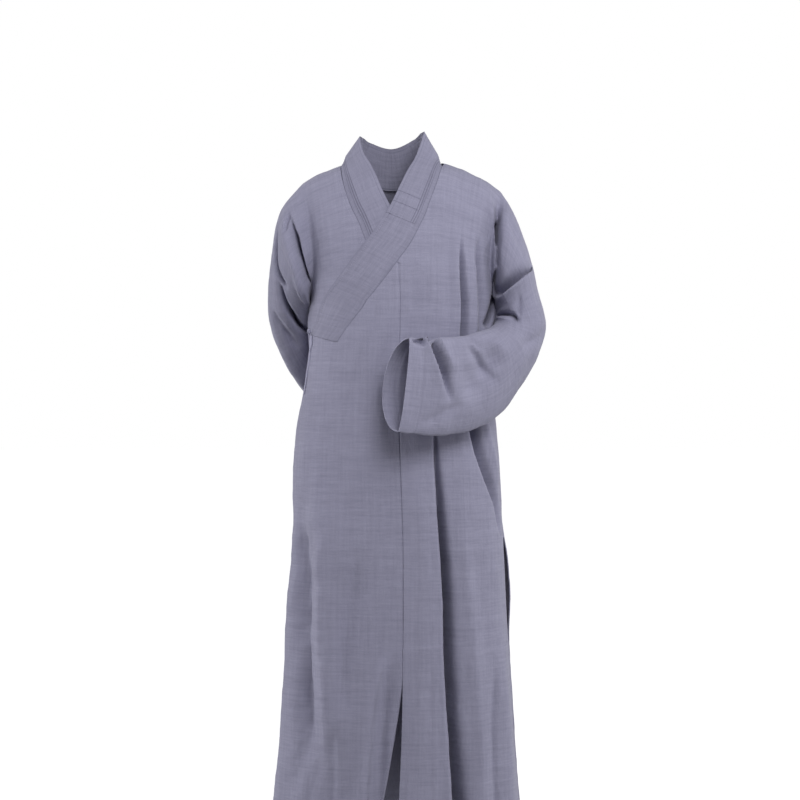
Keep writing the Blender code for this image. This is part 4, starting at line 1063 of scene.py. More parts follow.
# %% Folds of the sleeves
SLEEVE_GIRTH, SLEEVE_LENGTH, SLEEVE_ROWS = 0.50, 0.55, 150
WEAVE_PAST_SHOULDER, WEAVE_TOP, WEAVE_DROP = 0.21, 0.01, 0.30
LEFT_SLEEVE_FOLDS = (
    Fold("crook, hollow", ((0.50, 0.235), (0.44, 0.245), (0.37, 0.30), (0.33, 0.37)),
         0.009, 0.006, -0.020, 0.15, 0.35),
    Fold("crook, roll", ((0.50, 0.32), (0.44, 0.32), (0.40, 0.36)),
         0.014, 0.014, 0.006, 0.20, 0.40),
    Fold("elbow, short crease", ((0.27, 0.22), (0.33, 0.33)), 0.006, 0.009, -0.006, 0.3, 0.3),
    Fold("elbow, under", ((0.10, 0.36), (0.22, 0.42), (0.30, 0.50)),
         0.012, 0.014, -0.005, 0.3, 0.3),
    Fold("forearm, broad hollow", ((0.36, 0.60), (0.28, 0.72), (0.20, 0.80)),
         0.030, 0.034, -0.016, 0.3, 0.3),
    Fold("forearm, line by the crook", ((0.463, 0.752), (0.40, 0.721), (0.361, 0.682)),
         0.006, 0.009, -0.005, 0.2, 0.4),
    Fold("forearm, long line", ((0.41, 0.78), (0.367, 0.744), (0.293, 0.698), (0.21, 0.636)),
         0.007, 0.012, -0.011, 0.2, 0.4),
    Fold("cuff, trough", ((0.56, 0.915), (0.49, 0.911), (0.40, 0.902), (0.33, 0.882),
                          (0.285, 0.865), (0.235, 0.848), (0.18, 0.825)),
         0.0060, 0.0048, -0.046, 0.12, 0.45, 0.7, 0.16),
    Fold("cuff, left lip", ((0.51, 0.927), (0.44, 0.915), (0.36, 0.893), (0.305, 0.875),
                            (0.25, 0.853)),
         0.003, 0.012, 0.009, 0.10, 0.40),
    Fold("cuff, sag", ((0.42, 0.935), (0.45, 0.96), (0.44, 0.99)), 0.012, 0.012, -0.013, 0.2, 0.2),
    Fold("cuff, right lip", ((0.49, 0.888), (0.385, 0.872), (0.325, 0.850), (0.27, 0.83)),
         0.014, 0.003, 0.009, 0.10, 0.40),
    Fold("cuff, low pull", ((0.10, 0.94), (0.16, 0.86), (0.20, 0.76)),
         0.010, 0.014, -0.004, 0.3, 0.4),
    Fold("shoulder to elbow", ((0.12, 0.06), (0.16, 0.16)), 0.014, 0.014, -0.005, 0.3, 0.3),
    Fold("back of elbow", ((0.96, 0.32), (0.84, 0.33), (0.70, 0.32)),
         0.010, 0.018, -0.012, 0.3, 0.3),
    Fold("back of elbow, second", ((0.92, 0.44), (0.80, 0.46), (0.66, 0.44)),
         0.010, 0.018, -0.010, 0.3, 0.3),
    Fold("back of upper arm", ((0.80, 0.06), (0.90, 0.22)), 0.010, 0.018, -0.009, 0.3, 0.3),
)
RIGHT_SLEEVE_FOLDS = (
    Fold("long curve", ((0.075, 0.12), (0.095, 0.17), (0.125, 0.215), (0.175, 0.237),
                        (0.25, 0.238)),
         0.005, 0.007, -0.014, 0.25, 0.3),
    Fold("by the shoulder", ((0.10, 0.06), (0.13, 0.085), (0.17, 0.11)),
         0.004, 0.005, -0.008, 0.3, 0.3),
    Fold("elbow trough", ((0.15, 0.24), (0.20, 0.31), (0.25, 0.365), (0.275, 0.41), (0.31, 0.45),
                          (0.37, 0.49)),
         0.0085, 0.0070, -0.042, 0.30, 0.42),
    Fold("elbow, second", ((0.06, 0.33), (0.14, 0.40), (0.20, 0.50)),
         0.014, 0.010, -0.007, 0.3, 0.3),
    Fold("ridge to the chest", ((0.10, 0.12), (0.194, 0.115), (0.30, 0.15), (0.40, 0.24)),
         0.012, 0.014, 0.006, 0.2, 0.3),
    Fold("under the elbow", ((0.04, 0.60), (0.30, 0.68)), 0.014, 0.016, -0.007, 0.3, 0.3),
    Fold("back of elbow", ((0.94, 0.34), (0.82, 0.38), (0.70, 0.38)),
         0.012, 0.020, -0.012, 0.3, 0.3),
    Fold("back of elbow, second", ((0.90, 0.48), (0.78, 0.52), (0.66, 0.50)),
         0.010, 0.018, -0.010, 0.3, 0.3),
    Fold("forearm, behind", ((0.66, 0.70), (0.88, 0.90)), 0.012, 0.020, -0.008, 0.3, 0.3),
)
print("folds of the sleeves:", len(LEFT_SLEEVE_FOLDS), len(RIGHT_SLEEVE_FOLDS))


# %% Lay and sew the sleeves
def sleeve_lines(folds):
    scale = np.array((SLEEVE_GIRTH, SLEEVE_LENGTH))
    return [(smooth_path(fold.path) * scale, *fold[2:]) for fold in folds]


def edge_turns(points):
    """Shares of the way along an edge, by its length."""
    length = run_along(points)
    return length / length[-1]


def fold_tube(points, push, side):
    """Pushes a tube's points out, across and along by what its folds say."""
    across = np.roll(points, -1, axis=1) - np.roll(points, 1, axis=1)
    lengthways = np.gradient(points, axis=0)
    out = unit(np.cross(across, lengthways) * side)
    return (points + out * push[..., :1] + unit(across) * push[..., 1:2]
            + unit(lengthways) * push[..., 2:])


def lay_sleeve(name, side, front_ids, rings, folds):
    """A sleeve, from the armhole's edge, which its first ring shares with the panels."""
    every = np.concatenate(robe.chunks)
    behind_ids = back_ids[:back_start + 1, 0 if side > 0 else -1]
    front, behind = every[front_ids], every[behind_ids]
    ring_ids = np.concatenate((front_ids, behind_ids[-2:0:-1]))
    turns = np.concatenate((edge_turns(front) / 2, 1.0 - edge_turns(behind)[-2:0:-1] / 2))
    keys = np.array([every[ring_ids]] + [sleeve_ring(ring, turns) for ring in rings])
    gaps = [np.linalg.norm(np.array(a.outer) + a.inner - b.outer - b.inner) / 2
            for a, b in zip(rings, rings[1:])]
    knots = np.concatenate(([0.0, FIRST_RING_GAP], FIRST_RING_GAP + np.cumsum(gaps)))
    along = np.linspace(0.0, 1.0, SLEEVE_ROWS)
    points = curve(along, knots / knots[-1], keys.reshape(len(keys), -1))
    points = points.reshape(len(along), len(turns), 3)
    turn, along = np.broadcast_arrays(turns[None, :], along[:, None])
    push = fold_push(sleeve_lines(folds), turn * SLEEVE_GIRTH, along * SLEEVE_LENGTH)
    points = fold_tube(points, push, side)
    weave = np.stack((side * (WEAVE_PAST_SHOULDER + along * SLEEVE_LENGTH),
                      WEAVE_TOP - WEAVE_DROP * (1.0 - np.abs(1.0 - 2.0 * turn))), axis=-1)
    if side > 0:
        points, weave, ring_ids = points[:, ::-1], weave[:, ::-1], ring_ids[::-1]
    ids = robe.lay(name, points, weave, tube=True)
    robe.sew(ring_ids, ids[0])
    return ids


left_sleeve_ids = lay_sleeve("sleeve_left", 1, left_ids[:left_start + 1, -1],
                             LEFT_RINGS, LEFT_SLEEVE_FOLDS)
right_sleeve_ids = lay_sleeve("sleeve_right", -1, under_ids[:under_start + 1, 0],
                              RIGHT_RINGS, RIGHT_SLEEVE_FOLDS)
print("sleeves:", left_sleeve_ids.shape, right_sleeve_ids.shape)

# %% [markdown]
# ## Settling the cloth
#
# Some folds run across an armhole, from the sleeve on to the chest. Cut into each piece alone
# they would break at the seam, so they are pressed into both at once, seen from the front. Each
# path's points are (x, height).

# %% Folds across the armholes
ARMHOLE_FOLDS = {
    "left": (
        Fold("crease", ((0.209, -0.092), (0.2095, -0.164), (0.207, -0.225)),
             0.0040, 0.0028, -0.012, 0.25, 0.10),
        Fold("upper gap", ((0.2065, -0.122), (0.2085, -0.140), (0.209, -0.158), (0.2075, -0.180)),
             0.0036, 0.0026, -0.050, 0.30, 0.30, 1.0, 0.25),
        Fold("lower gap", ((0.2065, -0.218), (0.2062, -0.240), (0.205, -0.268), (0.1995, -0.295),
                           (0.192, -0.319), (0.184, -0.342)),
             0.0045, 0.0032, -0.060, 0.25, 0.05, 1.0, 0.25),
        Fold("chest edge", ((0.193, -0.060), (0.201, -0.108), (0.2035, -0.164), (0.2015, -0.220),
                            (0.198, -0.272), (0.187, -0.316)),
             0.0028, 0.010, 0.007, 0.10, 0.20),
        Fold("sleeve edge", ((0.223, -0.079), (0.217, -0.128), (0.2135, -0.179), (0.213, -0.215),
                             (0.214, -0.25)),
             0.010, 0.003, 0.006, 0.20, 0.30),
        Fold("yoke shade", ((0.187, -0.093), (0.191, -0.134), (0.187, -0.175)),
             0.005, 0.009, -0.005, 0.30, 0.30),
        Fold("elbow lip", ((0.285, -0.213), (0.2616, -0.238), (0.2454, -0.252), (0.2212, -0.272),
                           (0.206, -0.288)),
             0.018, 0.003, 0.013, 0.25, 0.10),
        Fold("elbow lip, behind", ((0.290, -0.205), (0.2625, -0.2285), (0.2455, -0.2430),
                                   (0.2212, -0.2635), (0.206, -0.280)),
             0.0035, 0.0085, -0.038, 0.30, 0.20, 0.8, -0.45),
    ),
    "right": (
        Fold("valley", ((-0.224, -0.092), (-0.2147, -0.123), (-0.2000, -0.172), (-0.1915, -0.208),
                        (-0.1825, -0.240), (-0.172, -0.262)),
             0.003, 0.008, -0.036, 0.65, 0.15, 1.0, -0.35),
        Fold("chest edge", ((-0.211, -0.100), (-0.196, -0.157), (-0.180, -0.209),
                            (-0.165, -0.247), (-0.153, -0.286)),
             0.014, 0.005, 0.002, 0.20, 0.10),
        Fold("second valley", ((-0.224, -0.120), (-0.214, -0.150), (-0.200, -0.209)),
             0.005, 0.010, -0.006, 0.30, 0.30),
    ),
}
ARMHOLE_PANELS = {"left": ("front_left", "sleeve_left"), "right": ("front_under", "sleeve_right")}
ARMHOLE_LOW, ARMHOLE_OUT = -0.345, 0.14
FRONT_FACING, FACING_START = 0.55, 0.2


def crease_armholes():
    """Presses the folds that run over the armhole seams into both panels at once."""
    for side, folds in ARMHOLE_FOLDS.items():
        chosen = np.zeros(robe.count, bool)
        for name in ARMHOLE_PANELS[side]:
            chosen[robe.panels[name]["ids"]] = True
        x, _, z = robe.points.T
        chosen &= (z > ARMHOLE_LOW) & (np.abs(x) > ARMHOLE_OUT)
        lines = [(smooth_path(fold.path), *fold[2:]) for fold in folds]
        push = fold_push(lines, x[chosen], z[chosen])
        facing = ease(-robe.normals[chosen, 1] / FRONT_FACING + FACING_START)[:, None]
        robe.points[chosen] += np.stack((push[:, 1], -push[:, 0], push[:, 2]), axis=1) * facing


print("folds over the armholes:", {side: len(folds) for side, folds in ARMHOLE_FOLDS.items()})

# %% [markdown]
# Cloth that has been worn is never quite smooth. A noise texture could move its points, but sums
# of waves are simple and have their lengths in metres, so the ripples are the same size on every
# panel. They are stronger down the front at the wearer's right, where the cloth is creped.

# %% Ripples
Ripple = namedtuple("Ripple", "number shortest longest upright height")
RIPPLES = (
    Ripple(26, 0.030, 0.090, 4.0, 0.00013),
    Ripple(34, 0.013, 0.030, 2.0, 0.000035),
)
RIPPLE_SEED = 11
CREPE_LINE, CREPE_REACH, CREPE_GAIN = ((-0.185, -0.62), (-0.180, -1.22)), 0.035, 3.0
CREPE_STARTS, CREPE_FADES, CREPE_ENDS = 4.0, 3.0, 1.3


def ripple():
    random = np.random.default_rng(RIPPLE_SEED)
    rise = np.zeros(robe.count)
    for kind in RIPPLES:
        length = random.uniform(kind.shortest, kind.longest, kind.number)
        heading = random.uniform(0.0, math.pi, kind.number)
        slope = random.normal(0.0, 1.0, kind.number) / kind.upright
        start = random.uniform(0.0, 2 * math.pi, kind.number)
        waves = np.stack((np.cos(heading), np.sin(heading), slope)) * (2 * math.pi / length)
        rise += kind.height * np.sin(robe.points @ waves + start).sum(axis=1)
    x, y, z = robe.points.T
    top, foot = CREPE_LINE
    along = (top[1] - z) / (top[1] - foot[1])
    away = np.abs(x - top[0] - (foot[0] - top[0]) * along) / CREPE_REACH
    fades = ease(along * CREPE_STARTS) * ease((CREPE_ENDS - along) * CREPE_FADES)
    rise *= 1.0 + CREPE_GAIN * np.exp(-away ** 2) * fades * (y < 0)
    robe.points += robe.normals * rise[:, None]


print("waves:", sum(kind.number for kind in RIPPLES))

# %% [markdown]
# Beside the armholes the cloth relaxes until the join can't be seen. A line of stitches pulls
# cloth in by one to three millimetres, so the centre seam and the turned edges of the cuffs are
# pressed in last, when nothing moves them any more.

# %% Relax the armholes and press the seams
RELAX_REACH, RELAX_ROUNDS, RELAX_PULL, RELAX_SKIP = 0.035, 24, 0.7, 3
SEAM_PRESS, HEM_PRESS, CUFF_TURN = 0.0026, 0.0012, 0.945

robe.join()


def near_armholes():
    """1 on an armhole's seam, falling to 0 at the reach."""
    seam = np.concatenate((robe.panels["sleeve_left"]["ids"][0],
                           robe.panels["sleeve_right"]["ids"][0]))
    weight = np.zeros(robe.count)
    for corner in robe.points[seam[::RELAX_SKIP]]:
        away = np.linalg.norm(robe.points - corner, axis=1)
        weight = np.maximum(weight, ease(1.0 - away / RELAX_REACH))
    edges = [panel["ids"][-1] for panel in robe.panels.values()]
    edges.append(robe.panels["front_under"]["ids"][:, -1])
    weight[np.concatenate(edges)] = 0.0
    return weight * RELAX_PULL


robe.relax(near_armholes(), RELAX_ROUNDS)
robe.find_normals()
crease_armholes()
ripple()
robe.find_normals()
seam_points = np.unique(robe.panels["front_overlap"]["ids"][:, -1])
robe.points[seam_points] -= robe.normals[seam_points] * SEAM_PRESS
cuff_row = round(CUFF_TURN * (SLEEVE_ROWS - 1))
for name in ("sleeve_left", "sleeve_right"):
    turned_in = robe.panels[name]["ids"][cuff_row]
    robe.points[turned_in] -= robe.normals[turned_in] * HEM_PRESS
robe.find_normals()
print("points:", robe.count)

# %% [markdown]
# ## From a surface to cloth
#
# A sheet of the mesh becomes cloth with two faces and a rim. The faces keep the smooth normals
# of the whole robe, and the rims keep their own, so that an edge looks cut and a seam doesn't.

# %% Cloth with two faces
CLOTH, BAND_CLOTH, GUARD_CLOTH, LAYER_GAP = 0.002, 0.0025, 0.0011, 0.0004


def add_mesh(name, points, faces):
    mesh = bpy.data.meshes.new(name)
    mesh.from_pydata(points.tolist(), [], faces)
    mesh.shade_smooth()
    return link(bpy.data.objects.new(name, mesh))


def cloth_piece(name, face, normals, weave, thickness, tube=False):
    """One piece of cloth, from a grid of its face."""
    rows, columns = face.shape[:2]
    count = rows * columns
    inside = face - normals * thickness
    index = np.arange(count).reshape(rows, columns)
    index = closed_round(index) if tube else index
    quads = np.stack(corners_of(index), axis=-1).reshape(-1, 4)
    back = quads[:, [0, 3, 2, 1]] + count
    rim = [(index[0, 1:], index[0, :-1]), (index[-1, :-1], index[-1, 1:])]
    if not tube:
        rim += [(index[:-1, 0], index[1:, 0]), (index[1:, -1], index[:-1, -1])]
    rims = np.concatenate([np.stack((a, a + count, b + count, b), axis=1) for a, b in rim])
    points = np.concatenate((face.reshape(-1, 3), inside.reshape(-1, 3)))
    faces = np.concatenate((quads, back, rims))
    piece = add_mesh(name, points, faces.tolist())
    layer = piece.data.uv_layers.new(name="weave")
    flat = np.concatenate((weave.reshape(-1, 2), weave.reshape(-1, 2)))
    layer.data.foreach_set("uv", flat[faces.ravel()].ravel())
    own = np.concatenate((normals.reshape(-1, 3), -normals.reshape(-1, 3)))[faces.ravel()]
    corners = points[rims]
    cut = unit(np.cross(corners[:, 2] - corners[:, 0], corners[:, 3] - corners[:, 1]))
    own[-rims.size:] = np.repeat(cut, 4, axis=0)
    piece.data.normals_split_custom_set(own.tolist())
    return piece


pieces = {}
for name, panel in robe.panels.items():
    ids = panel["ids"]
    pieces[name] = cloth_piece("linen_" + name, robe.points[ids], robe.normals[ids],
                               panel["weave"], CLOTH, panel["tube"])
print("pieces:", ", ".join(pieces))

# %% [markdown]
# ## The collar band and its guard
#
# The band is doubled cloth with a rolled edge. Round the neck it stands, and on the chest it
# lies on the fronts. Three narrower layers, each shorter than the one below, are sewn over it at
# the neck, where it wears most.

# %% The band
BAND_WIDTH = 0.075
TOP_STITCH = 0.907
BAND_ACROSS = np.concatenate((
    [0.0, 0.008, 0.02, 0.04], np.linspace(0.075, 0.86, 18),
    TOP_STITCH + np.array([-0.026, -0.013, 0.0, 0.013, 0.026]), [0.955, 0.975, 0.99, 1.0]))
BAND_SEAM_DIP, BAND_SEAM_REACH, BAND_FOOT = 0.0024, 0.045, 0.05
BAND_EDGE_ROUND, BAND_EDGE_REACH = 0.0009, 0.025
STITCH_DIP, STITCH_REACH, END_STITCH = 0.0008, 0.0014, 0.030
COLLAR_SEAM_GAP = 0.0003
Guard = namedtuple("Guard", "name left_end starts_at")
GUARDS = (
    Guard("guard_low", "guard low end", 0.14),
    Guard("guard_middle", "guard middle end", 0.205),
    Guard("guard_top", "guard top end", 0.27),
)
GUARD_COLUMNS, GUARD_EDGE_DIP, GUARD_EDGE_REACH = 20, 0.0006, 0.004
GUARD_EDGE_STEPS = np.array([0.0010, 0.0020, 0.0032])


def collar_form(across, along):
    """The band's face, from (across, along) to points: across is 0 at the seam, 1 at the neck."""
    knots, seam_places, edge_places, edges, lies = COLLAR
    seam_place = curve(along, knots, seam_places)
    share = across[..., None]
    places = seam_place * (1 - share) + curve(along, knots, edge_places) * share
    outer_side = ease((knots[OUTER_STATIONS] - along) / OUTER_FADE)

    def lifted(around, down):
        lift = outer_side * outer_lift(around, down) - (1 - outer_side) * under_sink(around, down)
        return on_body(around, down, lift + BAND_RISE)

    seam = lifted(seam_place[..., 0], seam_place[..., 1])
    standing = seam * (1 - share) + curve(along, knots, edges) * share
    lying = lifted(places[..., 0], places[..., 1])
    weight = ease(np.interp(along, knots, lies))[..., None]
    return standing * (1 - weight) + lying * weight


def band_weave(across, along):
    return np.stack((along, across * BAND_WIDTH), axis=-1)


def pressed(distance):
    """How deep a stitched line presses the cloth in, this far from it in metres."""
    return STITCH_DIP * np.exp(-((distance / STITCH_REACH) ** 2))


def make_band():
    across, along = np.meshgrid(np.concatenate(([-BAND_FOOT], BAND_ACROSS)), STOPS)
    face = collar_form(across, along)
    normal = outward(collar_form, across, along)
    face[:, 0] += unit(face[:, 1] - face[:, 0]) * COLLAR_SEAM_GAP
    dip = BAND_SEAM_DIP * (1.0 - ease(across / BAND_SEAM_REACH)) ** 2
    dip += BAND_EDGE_ROUND * (1.0 - ease((1.0 - across) / BAND_EDGE_REACH))
    dip += pressed((across - TOP_STITCH) * BAND_WIDTH) + pressed(along - END_STITCH)
    face = face - normal * dip[..., None]
    return cloth_piece("linen_collar_band", face, normal, band_weave(across, along), BAND_CLOTH)


def make_guard(layer, guard):
    start, end = station_at(guard.left_end), station_at("guard under end")
    along = np.unique(np.concatenate((spaced(start, end), start + GUARD_EDGE_STEPS)))
    columns = np.linspace(guard.starts_at, 1.0, GUARD_COLUMNS)
    columns = np.unique(np.concatenate((columns, columns[0] + GUARD_EDGE_STEPS / BAND_WIDTH)))
    across, along = np.meshgrid(columns, along)
    normal = outward(collar_form, across, along)
    edge = np.minimum((across - guard.starts_at) * BAND_WIDTH, along - start)
    rise = (layer + 1) * (GUARD_CLOTH + LAYER_GAP)
    rise = rise - GUARD_EDGE_DIP * (1.0 - ease(edge / GUARD_EDGE_REACH))
    face = collar_form(across, along) + normal * rise[..., None]
    weave = band_weave(across, along)
    return cloth_piece("linen_" + guard.name, face, normal, weave, GUARD_CLOTH)


pieces["collar_band"] = make_band()
for layer, guard in enumerate(GUARDS):
    pieces[guard.name] = make_guard(layer, guard)
print("guard layers:", len(GUARDS))

# %% [markdown]
# ## Stitching
#
# The band is top-stitched along its free edge, and hems and slits are turned in and sewn down.
# A row of stitches could be a pattern in the finish, but real ones stand up from the cloth and
# the cloth sinks between them, so each stitch is a small bead of thread, half sunk in.

# %% Stitches
STITCH_LENGTH, STITCH_PITCH, STITCH_RADIUS = 0.0026, 0.0042, 0.00034
STITCH_SIDES, STITCH_AHEAD, STITCH_RISE = 6, 0.001, 0.4
STITCH_ENDS = np.array([-1.0, -0.72, 0.72, 1.0])
STITCH_THICKNESS = np.array([0.25, 1.0, 1.0, 0.25])
HEM_TURN, SLIT_TURN, SIDE_COLUMN_STEP = 0.028, 0.011, 0.0033
BESIDE_GUARD = 0.002


def stitch_row(line, normals):
    """Corners and faces of a row of stitches along a line that lies on cloth."""
    run = run_along(line)
    number = max(1, int(run[-1] / STITCH_PITCH))
    at = (np.arange(number) + 0.5) * STITCH_PITCH

    def along_line(values, where):
        return np.stack([np.interp(where, run, values[:, i]) for i in range(3)], axis=-1)

    middle, up = along_line(line, at), along_line(normals, at)
    front = unit(along_line(line, at + STITCH_AHEAD) - middle)
    side = np.cross(front, up)
    thick = STITCH_THICKNESS * STITCH_RADIUS
    angle = np.arange(STITCH_SIDES) * 2 * math.pi / STITCH_SIDES
    rings = (middle[:, None, None]
             + front[:, None, None] * (STITCH_ENDS * STITCH_LENGTH / 2)[None, :, None, None]
             + side[:, None, None] * (thick[:, None] * np.cos(angle))[None, ..., None]
             + up[:, None, None] * (thick[:, None] * np.sin(angle))[None, ..., None])
    rings = rings + up[:, None, None] * STITCH_RADIUS * STITCH_RISE
    index = np.arange(4 * STITCH_SIDES).reshape(4, STITCH_SIDES)
    after = np.roll(index, -1, axis=1)
    quads = np.stack((index[:-1], after[:-1], after[1:], index[1:]), axis=-1).reshape(-1, 4)
    base = (np.arange(number) * index.size)[:, None, None]
    walls = (quads[None] + base).reshape(-1, 4).tolist()
    caps = [index[0, ::-1], index[-1]]
    ends = [(cap + number_base).tolist() for cap in caps for number_base in base.ravel()]
    return rings.reshape(-1, 3), walls, ends


def sew_stitches(name, rows):
    """One piece of thread work: every row of stitches on one panel."""
    points, faces, start = [], [], 0
    for line, normals in rows:
        corners, walls, ends = stitch_row(line, normals)
        points.append(corners)
        faces += [[corner + start for corner in face] for face in walls + ends]
        start += len(corners)
    return add_mesh(name, np.concatenate(points), faces)


def on_panel(name, rows, columns):
    """The line of places on a panel's cloth in these rows and columns."""
    ids = robe.panels[name]["ids"][rows, columns].ravel()
    return robe.points[ids], robe.normals[ids]


def on_band(across, along):
    across, along = np.broadcast_arrays(across, along)
    normal = outward(collar_form, across, along)
    return collar_form(across, along) - normal * STITCH_DIP, normal


def rows_below(down, height):
    """The rows, of those that lie at these measures down, that are below a height."""
    return slice(int(np.sum(heights_of(down) > height)), None)


print("sides of a stitch:", STITCH_SIDES)

# %% Rows of stitches
EVERY = slice(None)
hem_row = -1 - round(HEM_TURN / MESH_STEP)
slit_column = round(SLIT_TURN / SIDE_COLUMN_STEP)
slit_rows = rows_below(left_down, FRONT_SLIT_TOP)
overlap_slit_rows = slice(slit_rows.start - left_down.size, None)
side_rows = rows_below(left_down, SIDE_SLIT_TOP)
back_side_rows = rows_below(BODY_ROWS, SIDE_SLIT_TOP)
past_low_guard = STOPS[STOPS < station_at("guard low end") - BESIDE_GUARD]
past_under_guard = STOPS[STOPS > station_at("guard under end") + BESIDE_GUARD]
STITCHES = {
    "front_left": [("front_left", hem_row, EVERY), ("front_left", slit_rows, slit_column + 2),
                   ("front_left", side_rows, -1 - slit_column)],
    "front_overlap": [("front_overlap", hem_row, EVERY), ("front_overlap", EVERY, slit_column),
                      ("front_overlap", overlap_slit_rows, -1 - slit_column)],
    "front_under": [("front_under", hem_row, EVERY), ("front_under", EVERY, -1 - slit_column)],
    "back": [("back", hem_row, EVERY), ("back", back_side_rows, slit_column)],
    "sleeve_left": [("sleeve_left", cuff_row, EVERY)],
    "sleeve_right": [("sleeve_right", cuff_row, EVERY)],
}
threads = {name: sew_stitches("thread_" + name, [on_panel(*row) for row in rows])
           for name, rows in STITCHES.items()}
threads["collar_band"] = sew_stitches("thread_collar_band", [
    on_band(TOP_STITCH, past_low_guard), on_band(TOP_STITCH, past_under_guard),
    on_band(np.linspace(0.05, 0.97, 30), END_STITCH)])
print("rows of stitches:", sum(len(rows) for rows in STITCHES.values()) + 3)

# %% [markdown]
# ## The side tie
#
# At the corner of the band a narrow tape is knotted. A folded end hangs below the knot, and a
# thin strand below that, along the overlap's free edge.

# %% Knot, leaf and strand
TIE_INSET, TIE_LIFT = 0.035, 0.0007
KNOT_HEIGHT, KNOT_INSET, KNOT_LIFT = -0.352, 0.01, 0.0049
KNOT_HALF_SIZE, KNOT_RINGS, KNOT_SIDES = (0.0048, 0.0038, 0.0066), 25, 36
GROOVE_DEPTH, GROOVE_TURNS, GROOVE_SLANT, GROOVE_SHARPNESS = 0.16, 1.5, 2.2, 0.6
TAPE_COLUMNS, TAPE_WEAVE = 9, 0.2
LEAF_HEIGHTS, LEAF_HALF_WIDTH, LEAF_CROWN = (-0.3605, -0.392), 0.0052, 0.0012
LEAF_SHAPE = np.linspace(0.08, 0.96, 22)
STRAND_HEIGHTS, STRAND_HALF_WIDTH, STRAND_ROWS = (-0.3925, -0.480), 0.0016, 30
STRAND_CLOTH, STRAND_CROWN = 0.0015, 0.0006


def free_edge(height):
    return curve(height, *zip(*FREE_EDGE))


def tie_ribbon(name, heights, half_widths, thickness, crown):
    """A strip of the tie down the overlap, a little crowned across."""
    height = np.linspace(*heights, len(half_widths))
    half = half_widths / quarter_length(height)
    across = np.linspace(-1.0, 1.0, TAPE_COLUMNS)
    around = (free_edge(height) + TIE_INSET)[:, None] + half[:, None] * across
    down = np.broadcast_to(down_of(height)[:, None], around.shape)
    normal = outward(outer_front, around, down)
    rise = TIE_LIFT + thickness + crown * (1.0 - across ** 2)
    face = outer_front(around, down) + normal * rise[None, :, None]
    drop = np.broadcast_to(height[:, None], around.shape)
    weave = np.stack((drop, around * TAPE_WEAVE), axis=-1)
    return cloth_piece(name, face, normal, weave, thickness)


def make_knot():
    """Cloth wound on itself: a ball with slanting grooves."""
    polar, turn = np.meshgrid(np.linspace(0.0, math.pi, KNOT_RINGS),
                              np.linspace(0, 2 * math.pi, KNOT_SIDES + 1)[:-1], indexing="ij")
    wave = np.abs(np.sin(GROOVE_TURNS * turn + GROOVE_SLANT * polar))
    groove = 1.0 - GROOVE_DEPTH * wave ** GROOVE_SHARPNESS
    ball = np.stack((np.sin(polar) * np.cos(turn), np.sin(polar) * np.sin(turn),
                     np.cos(polar)), axis=-1) * groove[..., None]
    around, down = float(free_edge(KNOT_HEIGHT)) + KNOT_INSET, down_of(KNOT_HEIGHT)
    middle = outer_front(around, down) + outward(outer_front, around, down) * KNOT_LIFT
    points = (ball * KNOT_HALF_SIZE + middle).reshape(-1, 3)
    index = closed_round(np.arange(ball[..., 0].size).reshape(ball.shape[:2]))
    faces = np.stack(corners_of(index), axis=-1).reshape(-1, 4)
    knot = add_mesh("linen_tie_knot", points, faces.tolist())
    knot.data.uv_layers.new(name="weave")
    return knot


leaf_widths = LEAF_HALF_WIDTH * np.sin(math.pi * LEAF_SHAPE)
pieces["tie_leaf"] = tie_ribbon("linen_tie_leaf", LEAF_HEIGHTS, leaf_widths, CLOTH, LEAF_CROWN)
strand_widths = np.full(STRAND_ROWS, STRAND_HALF_WIDTH)
pieces["tie_strand"] = tie_ribbon("linen_tie_strand", STRAND_HEIGHTS, strand_widths,
                                  STRAND_CLOTH, STRAND_CROWN)
pieces["tie_knot"] = make_knot()
print("tie pieces: 3")

# %% [markdown]
# ## Linen
#
# The cloth is matte, with slubs: thicker stretches of thread that run across the body and catch
# the light as faint streaks. Each piece carries its own flat measures in metres, so the streaks
# follow its weave round every fold. The same noise that colours them lifts them a little.

# %% The linen material
LINEN_LIGHT, LINEN_DARK = (0.333, 0.328, 0.445), (0.190, 0.187, 0.264)
NOISE_ROUGHNESS = 0.55
BUMP_DISTANCE, BUMP_STRENGTH = 0.0016, 0.8
LINEN_FINISH = {"Roughness": 0.92, "Specular IOR Level": 0.25,
                "Sheen Weight": 0.10, "Sheen Roughness": 0.5}


def streaks(start, cloth, across, along, seed, detail=2.0):
    """Noise stretched along the weave: across and along are how many per metre."""
    scaled = start.node("ShaderNodeMapping", None, {
        "Vector": cloth, "Scale": (across, along, 1.0), "Location": (seed, seed * 1.7, seed)})
    return start.node("ShaderNodeTexNoise", {"noise_dimensions": "2D"}, {
        "Vector": scaled, "Scale": 1.0, "Detail": detail, "Roughness": NOISE_ROUGHNESS})


def blend(start, share, dark, light):
    """A colour between two, each given as a shade of linen and a tint that multiplies it."""
    first, second = (tuple(v * tint for v in shade) + (1.0,) for shade, tint in (dark, light))
    inputs = {0: share, 6: first, 7: second}
    return start.node("ShaderNodeMix", {"data_type": "RGBA"}, inputs, output=2)


def finish_shader(material, shader, colour, bump, constants):
    """Links what varies, and sets what is the same all over."""
    material.node_tree.links.new(colour.socket, shader.inputs["Base Color"])
    material.node_tree.links.new(bump.socket, shader.inputs["Normal"])
    for name, value in constants.items():
        shader.inputs[name].default_value = value


